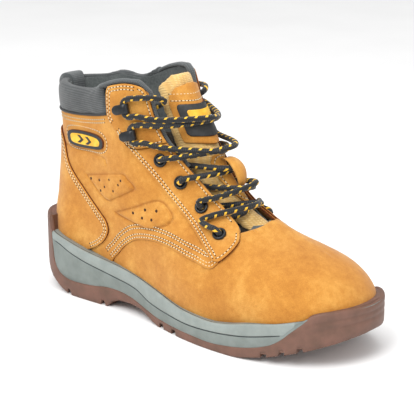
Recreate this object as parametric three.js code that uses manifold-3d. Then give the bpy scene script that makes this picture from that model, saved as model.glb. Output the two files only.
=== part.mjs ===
// A lace-up safety work boot with a steel toecap, right foot, EU 43.
// Frame: millimetres, +Z up, +X towards the toe, +Y to the medial (inner) side.
// The origin is on the ground, in the middle of the heel's tread.
import * as THREE from 'three';
import { mergeVertices } from 'three/addons/utils/BufferGeometryUtils.js';
import Module from 'manifold-3d';

const wasm = await Module();
wasm.setup();

// ---------------------------------------------------------------- sizes
// Overall sizes. The pattern below is drawn for the sample size and graded to these.
const BOOT_LENGTH = 307;
const BALL_WIDTH = 110;
const SHAFT_HEIGHT = 183;
const SAMPLE = { length: 307, width: 110, height: 183 };
const GRADE = new THREE.Vector3(
  BOOT_LENGTH / SAMPLE.length,
  BALL_WIDTH / SAMPLE.width,
  SHAFT_HEIGHT / SAMPLE.height,
);
const TREAD_CENTRE_X = 24; // pattern x of the heel tread's middle, which is the origin

// Sheets and pads, each a thickness.
const LEATHER = 2;
const OVERLAY = 1.5;
const VAMP_STEP = 0.8; // how far the vamp lies below the quarters that overlap it
const LINING = 1.5;
const COUNTER = 1.5;
const COLLAR_PAD = 5.5;
const COLLAR_PUFF = 1.2; // how far the knit collar stands out of the leather
const COLLAR_ROLL = 3.2; // height of the roll that closes the collar's top edge
const TOECAP_WALL = 1.8;
const TOECAP_FLANGE = 8;
const INSOLE_BOARD = 2.2;
const FOOTBED = 5;
const TONGUE_PAD = 6.5;
const TRIM = 1.2; // label, badge and lace keeper leather
const BRIDGE_LIFT = 4.9; // how far the keeper's strap stands over the laces it holds
const GAP = 0.3; // between pieces that touch

// Sole.
const LUG_DEPTH = 4;
const SHANK = { from: 48, to: 132, halfWidth: 9, thickness: 1.8 };

// Lacing hardware.
const LACE_DIAMETER = 4.4;
const LACE_RADIUS = LACE_DIAMETER / 2;
const BORE_CLEARANCE = 0.7;
const BARREL_WALL = 0.7;
const EYELET_FLANGE = 2; // width of the rolled outer rim beyond the bore
const EYELET_RIM = 1.2; // thickness of the rolled outer rim
const CLINCH = 1; // width and seat of the clinched inner rim
const HOOK = { width: 7, arm: 1.2, base: 1, reach: 8.5, rivet: 1.6 };
const AGLET_WALL = 0.35;

const FAR = 200; // well outside the boot

// ---------------------------------------------------------------- helpers
function pchip(xs, ys) {
  const steps = xs.slice(1).map((x, i) => x - xs[i]);
  const slopes = steps.map((h, i) => (ys[i + 1] - ys[i]) / h);
  const tangents = ys.map((_, i) => {
    if (i === 0) return slopes[0];
    if (i === ys.length - 1) return slopes[i - 1];
    const before = slopes[i - 1];
    const after = slopes[i];
    if (before * after <= 0) return 0;
    const w1 = 2 * steps[i] + steps[i - 1];
    const w2 = steps[i] + 2 * steps[i - 1];
    return (w1 + w2) / (w1 / before + w2 / after);
  });
  return (value) => {
    const x = Math.min(Math.max(value, xs[0]), xs.at(-1));
    let i = 0;
    while (i < xs.length - 2 && x > xs[i + 1]) i += 1;
    const t = (x - xs[i]) / steps[i];
    const t2 = t * t;
    const t3 = t2 * t;
    return (2 * t3 - 3 * t2 + 1) * ys[i] + (t3 - 2 * t2 + t) * steps[i] * tangents[i]
      + (3 * t2 - 2 * t3) * ys[i + 1] + (t3 - t2) * steps[i] * tangents[i + 1];
  };
}

function ramp(value, low, high) {
  return THREE.MathUtils.smoothstep(value, low, high);
}

function smooth(points, perSpan = 2) {
  const curve = new THREE.SplineCurve(points.map(([x, y]) => new THREE.Vector2(x, y)));
  return curve.getPoints(perSpan * (points.length - 1)).map((p) => [p.x, p.y]);
}

function solidOf(geometry) {
  geometry.deleteAttribute('normal');
  geometry.deleteAttribute('uv');
  const merged = mergeVertices(geometry, 1e-4);
  const mesh = new wasm.Mesh({
    numProp: 3,
    vertProperties: new Float32Array(merged.attributes.position.array),
    triVerts: new Uint32Array(merged.index.array),
  });
  return new wasm.Manifold(mesh);
}

function geometryOf(solid) {
  const mesh = solid.getMesh();
  const geometry = new THREE.BufferGeometry();
  geometry.setAttribute('position', new THREE.BufferAttribute(new Float32Array(mesh.vertProperties), 3));
  geometry.setIndex(new THREE.BufferAttribute(new Uint32Array(mesh.triVerts), 1));
  geometry.computeVertexNormals();
  return geometry;
}

function largestPiece(solid) {
  const pieces = solid.decompose();
  return pieces.reduce((best, piece) => (piece.volume() > best.volume() ? piece : best));
}

// ---------------------------------------------------------------- the last
// Horizontal sections of the upper's outer skin: where each level starts at the heel and ends
// at the front, and its half breadths at three stations. Pattern millimetres.
const LEVEL = [10, 25, 40, 52, 62, 70, 77, 83, 90, 100, 112, 125, 140, 155, 170, 185, 205];
const BACK = [-31, -33, -35, -36, -35.5, -35, -34, -33.5, -33, -32, -31, -30.5, -30.5, -31, -32, -33, -34];
const FRONT = [258, 260, 259.5, 254.5, 245, 229, 207, 190, 176, 161, 148.5, 138, 126, 116, 107, 100, 93];
const backX = pchip(LEVEL, BACK);
const frontX = pchip(LEVEL, FRONT);

const BREADTH_LEVEL = [10, 40, 60, 80, 100, 125, 150, 185];
const STATION = [-60, 0, 70, 160, 280];
const HALF_BREADTH = {
  lateral: [
    [31, 33, 32, 29, 27.5, 28, 30, 33],
    [36, 38, 38, 37, 36, 36, 37, 38],
    [51, 54, 50, 40, 29, 26, 26, 26],
  ],
  medial: [
    [31, 33, 32, 29, 27.5, 28, 30, 33],
    [28, 31, 34, 34, 33.5, 34.5, 37, 38],
    [42, 45, 40, 27, 23, 24, 26, 26],
  ],
};
const breadthCurves = {
  lateral: HALF_BREADTH.lateral.map((row) => pchip(BREADTH_LEVEL, row)),
  medial: HALF_BREADTH.medial.map((row) => pchip(BREADTH_LEVEL, row)),
};
const heelRound = pchip([10, 60, 125, 185], [38, 38, 40, 42]);
const toeRound = pchip([10, 40, 60, 72, 80, 90, 110, 185], [62, 66, 78, 100, 104, 96, 80, 74]);
const toePower = pchip([10, 50, 75, 100, 185], [2.3, 2.25, 2, 1.9, 2]);
const HEEL_POWER = 2.1;

function centreY(x) {
  return 6 * ramp(x, 100, 265);
}

function roundedEnd(distance, round, power) {
  const inside = Math.min(Math.max(distance / round, 0), 1);
  return (1 - (1 - inside) ** power) ** (1 / power);
}

function halfBreadth(x, z, side) {
  const [heel, waist, ball] = breadthCurves[side < 0 ? 'lateral' : 'medial'].map((curve) => curve(z));
  const breadth = pchip(STATION, [heel, heel, waist, ball, ball])(x);
  return breadth * roundedEnd(x - backX(z), heelRound(z), HEEL_POWER)
    * roundedEnd(frontX(z) - x, toeRound(z), toePower(z));
}

// The skin, walked round at one level: 0 is the heel, 1 the front and 2 the heel again, with
// the lateral side first.
function walk(a, z) {
  const turn = ((a % 2) + 2) % 2;
  const side = turn <= 1 ? -1 : 1;
  const along = turn <= 1 ? turn : 2 - turn;
  const x = backX(z) + (frontX(z) - backX(z)) * (1 - Math.cos(Math.PI * along)) / 2;
  return { x, z, side, y: centreY(x) + side * halfBreadth(x, z, side) };
}

function graded(x, y, z) {
  return new THREE.Vector3(x, y, z).multiply(GRADE);
}

function skinPoint(a, z) {
  const place = walk(a, z);
  return graded(place.x, place.y, z);
}

function skinNormal(a, z) {
  const step = 0.004;
  const along = skinPoint(a + step, z).sub(skinPoint(a - step, z));
  const up = skinPoint(a, z + 0.5).sub(skinPoint(a, z - 0.5));
  return along.cross(up).normalize();
}

function walkTo(x, z, side) {
  const share = (x - backX(z)) / (frontX(z) - backX(z));
  const along = Math.acos(1 - 2 * Math.min(Math.max(share, 0), 1)) / Math.PI;
  return side < 0 ? along : 2 - along;
}

// A point over the skin: by its place in the side view, or by its distance from the middle
// of the instep.
function overSide(x, z, side, height) {
  const a = walkTo(x, z, side);
  return skinPoint(a, z).addScaledVector(skinNormal(a, z), height);
}

function overFront(y, z, height) {
  const side = y < 0 ? -1 : 1;
  let low = (backX(z) + frontX(z)) / 2;
  let high = frontX(z);
  for (let i = 0; i < 40; i += 1) {
    const x = (low + high) / 2;
    if (halfBreadth(x, z, side) > Math.abs(y)) low = x;
    else high = x;
  }
  return overSide(low, z, side, height);
}

const WALK_STEPS = 22;
const BLOCK_LEVELS = [6, 20, 34, 46, 58, 68, 76, 85, 96, 108, 122, 137, 155, 180, 205];

// The whole last as one closed block, its skin set in by depth (out, where depth is negative).
function block(depth) {
  const depthAt = typeof depth === 'function' ? depth : () => depth;
  const positions = [];
  const index = [];
  BLOCK_LEVELS.forEach((z) => {
    for (let i = 0; i < WALK_STEPS; i += 1) {
      const a = (2 * i) / WALK_STEPS;
      const point = skinPoint(a, z).addScaledVector(skinNormal(a, z), -depthAt(walk(a, z)));
      positions.push(point.x, point.y, point.z);
    }
  });
  const rows = BLOCK_LEVELS.length;
  const at = (row, i) => row * WALK_STEPS + (i % WALK_STEPS);
  for (let row = 0; row < rows - 1; row += 1) {
    for (let i = 0; i < WALK_STEPS; i += 1) {
      index.push(at(row, i), at(row, i + 1), at(row + 1, i + 1));
      index.push(at(row, i), at(row + 1, i + 1), at(row + 1, i));
    }
  }
  for (let i = 1; i < WALK_STEPS - 1; i += 1) {
    index.push(at(0, 0), at(0, i + 1), at(0, i));
    index.push(at(rows - 1, 0), at(rows - 1, i), at(rows - 1, i + 1));
  }
  const geometry = new THREE.BufferGeometry();
  geometry.setAttribute('position', new THREE.Float32BufferAttribute(positions, 3));
  geometry.setIndex(index);
  return solidOf(geometry);
}

// ---------------------------------------------------------------- outlines
function grown(points, distance) {
  const area = THREE.ShapeUtils.area(points.map(([x, y]) => ({ x, y })));
  const out = Math.sign(area) * distance;
  const count = points.length;
  return points.map(([x, y], i) => {
    const before = points[(i + count - 1) % count];
    const after = points[(i + 1) % count];
    const tangent = new THREE.Vector2(after[0] - before[0], after[1] - before[1]).normalize();
    return [x + tangent.y * out, y - tangent.x * out];
  });
}

function extruded(points, depth) {
  const shape = new THREE.Shape(points.map(([x, y]) => new THREE.Vector2(x, y)));
  return new THREE.ExtrudeGeometry(shape, { depth, bevelEnabled: false });
}

// A side-view outline, [x, z] in pattern millimetres, pulled out sideways from yLow to yHigh.
function sidePrism(outline, yLow = -FAR, yHigh = FAR, growth = 0) {
  const points = grown(outline.map(([x, z]) => [x * GRADE.x, z * GRADE.z]), growth);
  const geometry = extruded(points, yHigh - yLow);
  geometry.rotateX(Math.PI / 2);
  geometry.translate(0, yHigh, 0);
  return solidOf(geometry);
}

// A plan-view outline, [x, y] in pattern millimetres, pulled up from zLow to zHigh.
function planPrism(outline, zLow, zHigh, growth = 0) {
  const points = grown(outline.map(([x, y]) => [x * GRADE.x, y * GRADE.y]), growth);
  const geometry = extruded(points, zHigh - zLow);
  geometry.translate(0, 0, zLow);
  return solidOf(geometry);
}

function onSide(side, outline, growth = 0) {
  const inner = GAP / 2;
  return side < 0 ? sidePrism(outline, -FAR, -inner, growth) : sidePrism(outline, inner, FAR, growth);
}

// Everything between two curves of x, from xLow to xHigh.
function band(lowCurve, highCurve, xLow, xHigh, steps = 24) {
  const xs = Array.from({ length: steps + 1 }, (_, i) => xLow + ((xHigh - xLow) * i) / steps);
  const outline = [
    ...xs.map((x) => [x, lowCurve(x)]),
    ...xs.reverse().map((x) => [x, highCurve(x)]),
  ];
  return sidePrism(outline);
}

// ---------------------------------------------------------------- seam lines, side view
const SOLE_FLOOR = pchip(
  [-60, 0, 40, 70, 100, 125, 150, 175, 200, 225, 250, 290],
  [31, 30, 28, 24, 18, 14.5, 13, 14, 18, 22.5, 27, 34],
);
const FEATHER = pchip(
  [-60, -45, -20, 0, 20, 53, 73, 104, 135, 163, 179, 197, 218, 237, 259, 290],
  [54, 52, 48.5, 45, 41, 36, 32.5, 27, 22, 21, 23, 27, 30.5, 35, 40, 43],
);
const GROUND = pchip(
  [-60, -42, -28, -15, -5, 3, 8, 46, 52, 60, 72, 84, 94, 102, 108, 185, 200, 212, 226, 239, 254, 264, 290],
  [31, 23, 15, 8.5, 3.4, 0.6, 0, 0, 5.5, 8, 8.4, 7.5, 4, 1, 0, 0, 2.4, 5, 9, 13, 18.5, 22.5, 34],
);
const floorAbove = (lift) => (x) => SOLE_FLOOR(x) + lift / GRADE.z;

const COLLAR_TOP = {
  lateral: pchip([-60, 0, 19, 31, 41, 52, 63, 72, 77, 90], [170,
    169, 170, 172.5, 177, 181, 183, 183, 181, 170]),
  medial: pchip([-60, 0, 19, 31, 41, 52, 66, 76, 82, 95], [170,
    169, 171, 174.5, 180, 184.5, 187.5, 188, 185, 170]),
};
const COLLAR_FOOT = pchip([-60, -20, 7, 32, 46], [146, 146, 147, 150, 153]);
const COLLAR_FRONT_X = 46;

// The throat's edge, from the collar down to the vamp.
const THROAT_EDGE = [[79, 186], [80, 179], [82, 172], [85, 163], [89, 154], [94, 145], [99, 138],
  [109, 128],
  [117, 120], [126, 112], [135, 104], [145, 96.5], [154, 90.5], [163, 85], [170, 80]];
const throat = smooth(THROAT_EDGE);

const EYESTAY_SEAM = [[46, 152], [55, 144], [62, 136.5], [71, 129], [79, 122.5], [88, 115], [97, 107],
  [106, 98.5],
  [117, 90], [130, 82], [144, 74], [153, 69]];
const eyestayOutline = [
  ...smooth(EYESTAY_SEAM),
  ...smooth([[160, 63.5], [166, 63], [171, 69], [173.5, 75.5], [170, 80]]),
  ...smooth(THROAT_EDGE.slice(6, 14).reverse()),
  ...smooth([[94, 145], [80, 150], [60, 156], [46, 156]]),
];
const hookPanelOutline = [
  ...smooth([[51, 147], [60, 138.5], [67, 133.5], [74, 131.5], [83, 133], [92, 136], [99, 138]]),
  ...smooth([[94, 145], [89, 154], [85, 163], [82, 170], [78, 176.5], [71, 179]]),
  ...smooth([[63, 179.3], [55, 177.6], [49.5, 176], [46.5, 172], [46.3, 160], [47.5, 151]]),
];
const vampSeam = smooth([[46, 10], [48, 35], [56, 45], [64, 53], [76, 60.5], [92, 64.2], [106, 65],
  [120, 64.2],
  [134, 62], [146, 60.5], [156, 58.5], [162, 60], [167, 68], [168.5, 78], [170, 88], [176, 96],
    [200, 106]]);
const heelPanelEdge = smooth([[-60, 131.5], [-30, 131], [-20, 128.5], [-13, 121], [-7, 106.5], [4, 95],
  [20, 83],
  [34, 73.5], [42, 68], [45, 61], [41, 53], [32, 45.5], [18, 38.5], [4, 25]]);

const COLLAR_XS = [82, 76, 70, 62, 54, COLLAR_FRONT_X, 38, 30, 20, 10, 0, -60];
function collarTopLine(side, drop, xLow, xHigh) {
  const top = side < 0 ? COLLAR_TOP.lateral : COLLAR_TOP.medial;
  return COLLAR_XS.filter((x) => x >= xLow && x <= xHigh).map((x) => [x, top(x) - drop / GRADE.z]);
}

function quarterOutline(side) {
  const top = side < 0 ? COLLAR_TOP.lateral : COLLAR_TOP.medial;
  const drop = (COLLAR_ROLL + 2 * GAP) / GRADE.z;
  const tops = collarTopLine(side, COLLAR_ROLL + 2 * GAP, COLLAR_FRONT_X, 77);
  const feet = [COLLAR_FRONT_X + 0.2, 32, 16, 0, -20, -60].map((x) => [x, COLLAR_FOOT(x) - GAP]);
  return [
    ...vampSeam.slice(0, -6).map(([x, z]) => [x - GAP, z + GAP]),
    ...[...throat].reverse().filter(([x, z]) => z < top(x) - drop - 1 && z > 82),
    ...tops,
    ...feet,
    [-60, 0],
    [44, 0],
  ];
}
const vampOutline = [...vampSeam, [290, 106], [290, 0], [46, 0]];

// ---------------------------------------------------------------- depths under the skin
const overlayOut = -GAP - OVERLAY;
const quarterIn = LEATHER;
const vampIn = VAMP_STEP + LEATHER;
const counterOut = LEATHER + GAP;
const toecapOut = vampIn + GAP;
const TOECAP_BACK_X = 197;
const STRIP_BACK_X = 187;

// The lining's outer face: it clears the stiffener, the collar's pad, the vamp and the toecap.
function liningOut({ x, z }) {
  const counter = (COUNTER + GAP) * (1 - ramp(x, 52, 66)) * (1 - ramp(z, 98, 108));
  const pad = COLLAR_PAD * ramp(z, 134, 150) * (1 - ramp(x, 30, 46));
  const vamp = VAMP_STEP * ramp(x, 40, 60) * (1 - ramp(z, 66, 76) * (1 - ramp(x, 150, 168)));
  const cap = (TOECAP_WALL + GAP) * ramp(x, 140, 160);
  return LEATHER + GAP + counter + pad + vamp + cap;
}
const liningIn = (place) => liningOut(place) + LINING;
const insideLining = (place) => liningIn(place) + GAP;
// The tongue's outer face: a little below the skin at the top, and low enough below to tuck
// under the facings and the vamp.
const TONGUE_SINK = { top: 4, base: 7.4, edge: 9.6 };
function tongueOut({ x, y, z }) {
  const across = Math.abs(y - centreY(x));
  const middle = TONGUE_SINK.base + (TONGUE_SINK.top - TONGUE_SINK.base) * ramp(z, 124, 136);
  return middle + (TONGUE_SINK.edge - middle) * ramp(across, 11, 24);
}
const insideFlange = (place) => Math.max(
  insideLining(place),
  (toecapOut + TOECAP_FLANGE + GAP) * ramp(place.x, 155, 175),
);

const blocks = {
  overlay: block(overlayOut),
  overlaySeat: block(-GAP),
  skin: block(0),
  quarterIn: block(quarterIn),
  vamp: block(VAMP_STEP),
  vampIn: block(vampIn),
  counterOut: block(counterOut),
  counterIn: block(counterOut + COUNTER),
  collar: block(-COLLAR_PUFF),
  foamIn: block((place) => liningOut(place) - GAP),
  liningOut: block(liningOut),
  liningIn: block(liningIn),
  inside: block(insideLining),
  tongue: block(tongueOut),
  tongueIn: block((place) => tongueOut(place) + TONGUE_PAD),
  tonguePanelOut: block((place) => tongueOut(place) - GAP - TRIM),
  tonguePanelIn: block((place) => tongueOut(place) - GAP),
  tongueLabelOut: block((place) => tongueOut(place) - 2 * (GAP + TRIM)),
  tongueLabelIn: block((place) => tongueOut(place) - 2 * GAP - TRIM),
  tongueMarkOut: block((place) => tongueOut(place) - 3 * (GAP + TRIM) + TRIM / 2),
  tongueMarkIn: block((place) => tongueOut(place) - 3 * GAP - 2 * TRIM),
  bridgeOut: block(-BRIDGE_LIFT - TRIM),
  bridgeIn: block(-BRIDGE_LIFT),
  overlayTwiceOut: block(overlayOut - GAP - TRIM / 2),
  overlayTwiceIn: block(overlayOut - GAP),
  insideFlange: block(insideFlange),
  toecapOut: block(toecapOut),
  toecapIn: block(toecapOut + TOECAP_WALL),
  toecapFlange: block(toecapOut + TOECAP_FLANGE),
  soleCup: block(({ x }) => -GAP - (OVERLAY + GAP) * (1 - ramp(x, 44, 56))),
};

const boot = new THREE.Group();
boot.position.x = -TREAD_CENTRE_X * GRADE.x;

const finish = {
  nubuck: { color: 0xc98a3e, roughness: 0.85, metalness: 0 },
  knit: { color: 0x5a5c5a, roughness: 0.95, metalness: 0 },
  lining: { color: 0x6e7270, roughness: 0.9, metalness: 0 },
  foam: { color: 0xb9b4a6, roughness: 1, metalness: 0 },
  board: { color: 0xc8b48c, roughness: 0.9, metalness: 0 },
  steel: { color: 0x9aa0a6, roughness: 0.35, metalness: 1 },
  blackMetal: { color: 0x22252a, roughness: 0.35, metalness: 0.6 },
  blackRubber: { color: 0x2a2b2d, roughness: 0.6, metalness: 0 },
  yellow: { color: 0xf2c93a, roughness: 0.6, metalness: 0 },
  midsole: { color: 0x8e948f, roughness: 0.7, metalness: 0 },
  gum: { color: 0x7f5f50, roughness: 0.65, metalness: 0 },
  tongueKnit: { color: 0xe3b76b, roughness: 0.95, metalness: 0 },
  lace: { color: 0x2a2b2d, roughness: 0.9, metalness: 0 },
};

function add(name, solid, look) {
  const mesh = new THREE.Mesh(geometryOf(solid), new THREE.MeshStandardMaterial(finish[look]));
  mesh.name = name;
  boot.add(mesh);
}

// A layer of the upper between two blocks, cut to one or more outlines.
function layer(outer, inner, region) {
  return outer.subtract(inner).intersect(region);
}

function bothSides(lateral, medial) {
  return sidePrism(lateral, -FAR, GAP).add(sidePrism(medial, 0, FAR));
}

const SIDES = [{ side: -1, name: 'lateral' }, { side: 1, name: 'medial' }];

// The medial collar stands a little higher, and what reaches up to it is raised with it, but
// stays below the collar's roll.
function lifted(outline, side) {
  return outline.map(([x, z]) => {
    const rise = side < 0 ? 0 : COLLAR_TOP.medial(x) - COLLAR_TOP.lateral(x);
    const top = side < 0 ? COLLAR_TOP.lateral : COLLAR_TOP.medial;
    return [x, Math.min(z + rise * ramp(z, 150, 176), top(x) - (COLLAR_ROLL + GAP) / GRADE.z)];
  });
}

// ---------------------------------------------------------------- sole unit
const soleOutline = smooth([[-42, 0], [-39.5, -15], [-32, -28], [-18, -37.5], [0, -41], [25, -41.5],
  [50, -40.5],
  [72, -40.5], [92, -43.5], [115, -48.5], [140, -53.5], [165, -55.5], [190, -54.5], [212, -50],
    [228, -44.5],
  [243, -36], [255, -24], [262.5, -9], [265, 5], [263, 19], [256, 32], [244, 42.5], [228, 49.5],
    [208, 53.5],
  [185, 54.5], [163, 51.5], [140, 46], [115, 40], [92, 36.5], [70, 35.5], [45, 37.5], [20, 40], [0, 41],
  [-18, 37.5], [-31, 29], [-39, 16], [-42, 0]], 2).slice(0, -1);
const soleBlock = planPrism(soleOutline, -5, 100);
const soleCup = blocks.soleCup.intersect(band(SOLE_FLOOR, () => FAR, -60, 290));

// Where the grey midsole ends and the rubber starts, from the heel strip's top round the
// bottom to the toe bumper's top.
const rubberLine = smooth([[-21, 60], [-18.5, 50], [-16.5, 40], [-15, 28], [-11, 19.5], [-3, 14.5],
  [8, 12.8],
  [20, 13], [34, 14.2], [46, 16], [58, 16], [72, 14], [88, 10], [106, 6.8], [125, 6], [145, 6], [163, 5.6],
  [180, 7], [198, 9.8], [213, 14], [222, 19.5], [229, 26.5], [236, 33], [243, 40]]);
const underFeather = rubberLine.filter(([x, z]) => z < FEATHER(x));
const featherLine = Array.from({ length: 21 }, (_, i) => 234 - 12 * i).map((x) => [x, FEATHER(x)]);
const midsoleOutline = [...underFeather, ...featherLine];
const groundLine = [264, 254, 239, 226, 212, 200, 185, 108, 102,
  94, 84, 72, 60, 52, 46, 8, 3, -5, -15, -28, -42]
  .map((x) => [x, GROUND(x)]);
const outsoleOutline = [
  ...rubberLine,
  [252, 42],
  [260.5, 42.5],
  [263.5, 39],
  [266, 33],
  ...groundLine,
  [-43, 30],
  [-41.5, 42],
  [-40, 52],
  [-38.8, 61.5],
];

// Tread: straight channels that leave the lugs standing.
const CHANNEL = { width: 4.5, heelEdge: 26, reach: 44 };
function channel(x, y, length, width, turn) {
  const depth = LUG_DEPTH + 8;
  const geometry = new THREE.BoxGeometry(length, width, depth);
  geometry.rotateZ(turn);
  geometry.translate(x * GRADE.x, y * GRADE.y, GROUND(x) * GRADE.z + LUG_DEPTH - depth / 2);
  return solidOf(geometry);
}
const channels = [];
for (let x = 106; x < 246; x += 14) {
  [-1, 1].forEach((side) => channels.push(channel(x, side * 31,
    CHANNEL.reach, CHANNEL.width, side * 1.25)));
}
for (let x = 118; x < 230; x += 28) {
  channels.push(channel(x, 2, 20, CHANNEL.width - 1, 0));
}
[2, 40].forEach((x) => {
  [-1, 1].forEach((side) => channels.push(channel(x, side * 30, 34, CHANNEL.width, side * 1.35)));
});
const tread = channels.reduce((all, one) => all.add(one));

const outsole = soleBlock.intersect(sidePrism(outsoleOutline)).subtract(tread).subtract(soleCup);
add('outsole', largestPiece(outsole), 'gum');

const shankBand = (lowCurve, highCurve, from, to, halfWidth) => band(lowCurve, highCurve, from, to)
  .intersect(planPrism([[from, -halfWidth], [to, -halfWidth], [to, halfWidth],
    [from, halfWidth]], -5, 100));
const shankPocket = shankBand(
  floorAbove(-SHANK.thickness - GAP),
  floorAbove(1),
  SHANK.from - GAP,
  SHANK.to + GAP,
  SHANK.halfWidth + GAP,
);
const midsole = soleBlock.intersect(sidePrism(midsoleOutline, -FAR, FAR, -GAP)).subtract(soleCup)
  .subtract(shankPocket);
add('midsole', midsole, 'midsole');
add('shank', shankBand(floorAbove(-SHANK.thickness), SOLE_FLOOR,
  SHANK.from, SHANK.to, SHANK.halfWidth), 'steel');

const boardTop = GAP + INSOLE_BOARD;
add('insole_board', blocks.insideFlange.intersect(band(floorAbove(GAP),
  floorAbove(boardTop), -60, 290)), 'board');
add('footbed', blocks.inside.intersect(
  band(floorAbove(boardTop + GAP), floorAbove(boardTop + GAP + FOOTBED), -60, 290),
), 'foam');

const aboveFloor = band(floorAbove(GAP), () => FAR, -60, 290);

// ---------------------------------------------------------------- lacing places
const EYELETS = [
  { name: '1', x: 96, z: 125 },
  { name: '2', x: 113, z: 110 },
  { name: '3', x: 132, z: 94 },
  { name: '4', x: 155, z: 79 },
];
const HOOKS = [{ name: '1', x: 67, z: 161 }, { name: '2', x: 74, z: 142 }];
const EDGE_UP = new THREE.Vector3(-0.25, 0, 0.97); // the throat edge's direction beside the hooks

// Right-handed frame on the skin: x towards the throat, y up along its edge, z outward.
function frameAt(x, z, side) {
  const a = walkTo(x, z, side);
  const outward = skinNormal(a, z);
  const up = EDGE_UP.clone().addScaledVector(outward, -EDGE_UP.dot(outward)).normalize();
  const forward = up.clone().cross(outward);
  if (forward.x < 0) {
    forward.negate();
    up.negate();
  }
  const origin = skinPoint(a, z);
  const matrix = new THREE.Matrix4().makeBasis(forward, up, outward).setPosition(origin);
  return { up, matrix };
}

function ringProfile(points) {
  return new THREE.LatheGeometry([...points, points[0]].map(([r, z]) => new THREE.Vector2(r, z)), 10)
    .rotateX(Math.PI / 2);
}

const boreRadius = LACE_RADIUS + BORE_CLEARANCE;
const barrelRadius = boreRadius + BARREL_WALL;
const overlayTop = GAP + OVERLAY + GAP;
const eyeletTop = overlayTop + EYELET_RIM;
const facingIn = LEATHER + GAP + LINING;
const clinchSeat = facingIn + GAP + 0.3;
const eyeletFoot = -clinchSeat - 0.6;
const eyeletProfile = [
  [boreRadius, eyeletFoot],
  [barrelRadius + CLINCH, eyeletFoot],
  [barrelRadius + CLINCH, -clinchSeat],
  [barrelRadius, -clinchSeat],
  [barrelRadius, overlayTop],
  [boreRadius + EYELET_FLANGE, overlayTop],
  [boreRadius + EYELET_FLANGE, eyeletTop - 0.3],
  [boreRadius, eyeletTop],
];
function rod(radius, low, high, sides = 10) {
  return new THREE.CylinderGeometry(radius, radius, high - low, sides).rotateX(Math.PI / 2)
    .translate(0, 0, (low + high) / 2);
}

const hookBase = overlayTop + HOOK.base;
const hookMouth = LACE_DIAMETER + 2 * GAP;
const hookTop = hookBase + hookMouth + HOOK.arm;
function hookSolid() {
  const middle = (hookBase + hookTop) / 2;
  const outer = (hookTop - overlayTop) / 2;
  const inner = hookMouth / 2;
  const arcs = (radius, centre, from, to) => Array.from({ length: 7 }, (_, i) => {
    const angle = from + ((to - from) * i) / 6;
    return [Math.cos(angle) * radius, centre + Math.sin(angle) * radius];
  });
  const bendCentre = overlayTop + outer;
  const mouthCentre = hookBase + inner;
  const outline = [
    [-HOOK.reach, overlayTop],
    ...arcs(outer, bendCentre, -Math.PI / 2, Math.PI / 2),
    [-HOOK.reach + 1.5, hookTop],
    [-HOOK.reach, hookTop - HOOK.arm],
    ...arcs(inner, mouthCentre, Math.PI / 2, -Math.PI / 2),
    [-HOOK.reach, hookBase],
  ];
  const geometry = extruded(outline, HOOK.width);
  geometry.rotateX(Math.PI / 2);
  geometry.translate(0, HOOK.width / 2, 0);
  const rivetAt = -HOOK.reach / 2;
  const stem = rod(HOOK.rivet, eyeletFoot, overlayTop + HOOK.base / 2).translate(rivetAt, 0, 0);
  const clinch = rod(HOOK.rivet + CLINCH, eyeletFoot, -clinchSeat).translate(rivetAt, 0, 0);
  return solidOf(geometry).add(solidOf(stem)).add(solidOf(clinch));
}
function hookRivetHole() {
  const stem = rod(HOOK.rivet + GAP, -10, overlayTop).translate(-HOOK.reach / 2, 0, 0);
  const clinch = rod(HOOK.rivet + CLINCH + GAP, -10, GAP - clinchSeat).translate(-HOOK.reach / 2, 0, 0);
  return solidOf(stem).add(solidOf(clinch));
}

function placed(solid, matrix) {
  return solid.transform(matrix.elements);
}

// ---------------------------------------------------------------- lace route
const placeOf = (x, z, side) => ({ side, z, half: halfBreadth(x, z, side) });

// A path over the instep between two places on opposite sides; it is asked for points at a
// distance along it and a height over the skin.
function track(from, to, rise) {
  const samples = Array.from({ length: 41 }, (_, i) => {
    const share = i / 40;
    const reach = share < 0.5 ? from.half : to.half;
    const y = from.side * reach * Math.cos(Math.PI * share);
    const z = from.z + (to.z - from.z) * share + rise * Math.sin(Math.PI * share);
    return { y, z, point: overFront(y, z, 0) };
  });
  const lengths = [0];
  samples.slice(1).forEach(({ point }, i) => lengths.push(lengths[i] + point.distanceTo(samples[i].point)));
  const total = lengths.at(-1);
  const at = (distance, height) => {
    let i = 0;
    while (i < 39 && distance > lengths[i + 1]) i += 1;
    const t = (distance - lengths[i]) / (lengths[i + 1] - lengths[i]);
    const y = samples[i].y + (samples[i + 1].y - samples[i].y) * t;
    const z = samples[i].z + (samples[i + 1].z - samples[i].z) * t;
    return overFront(y, z, height);
  };
  return { total, at };
}

const EDGE_REACH = 17.5; // from an eyelet to the throat's edge, along the skin
const overTop = eyeletTop + GAP + LACE_RADIUS;
const overFacing = overlayTop + GAP + LACE_RADIUS;
const underFacing = -(facingIn + GAP + LACE_RADIUS);
const underClinch = underFacing - 1.6;
const OUT_OF_EYELET = [[0, eyeletTop - 0.7], [0.7, overTop - 0.6], [3.6, overTop + 0.8],
  [9.5, overTop + 0.1]];
const INTO_EYELET = [[9, underClinch], [3.2, underClinch + 0.2], [0.35, eyeletFoot - 0.7], [0, -2.2]];

function leaveEyelet(path) {
  return [...OUT_OF_EYELET, [EDGE_REACH, overFacing + 0.3]].map(([d, h]) => path.at(d, h));
}
function arriveUnder(path) {
  return [[EDGE_REACH + 1.5, underFacing - 0.3], ...INTO_EYELET].map(([d,
    h]) => path.at(path.total - d, h));
}

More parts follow.
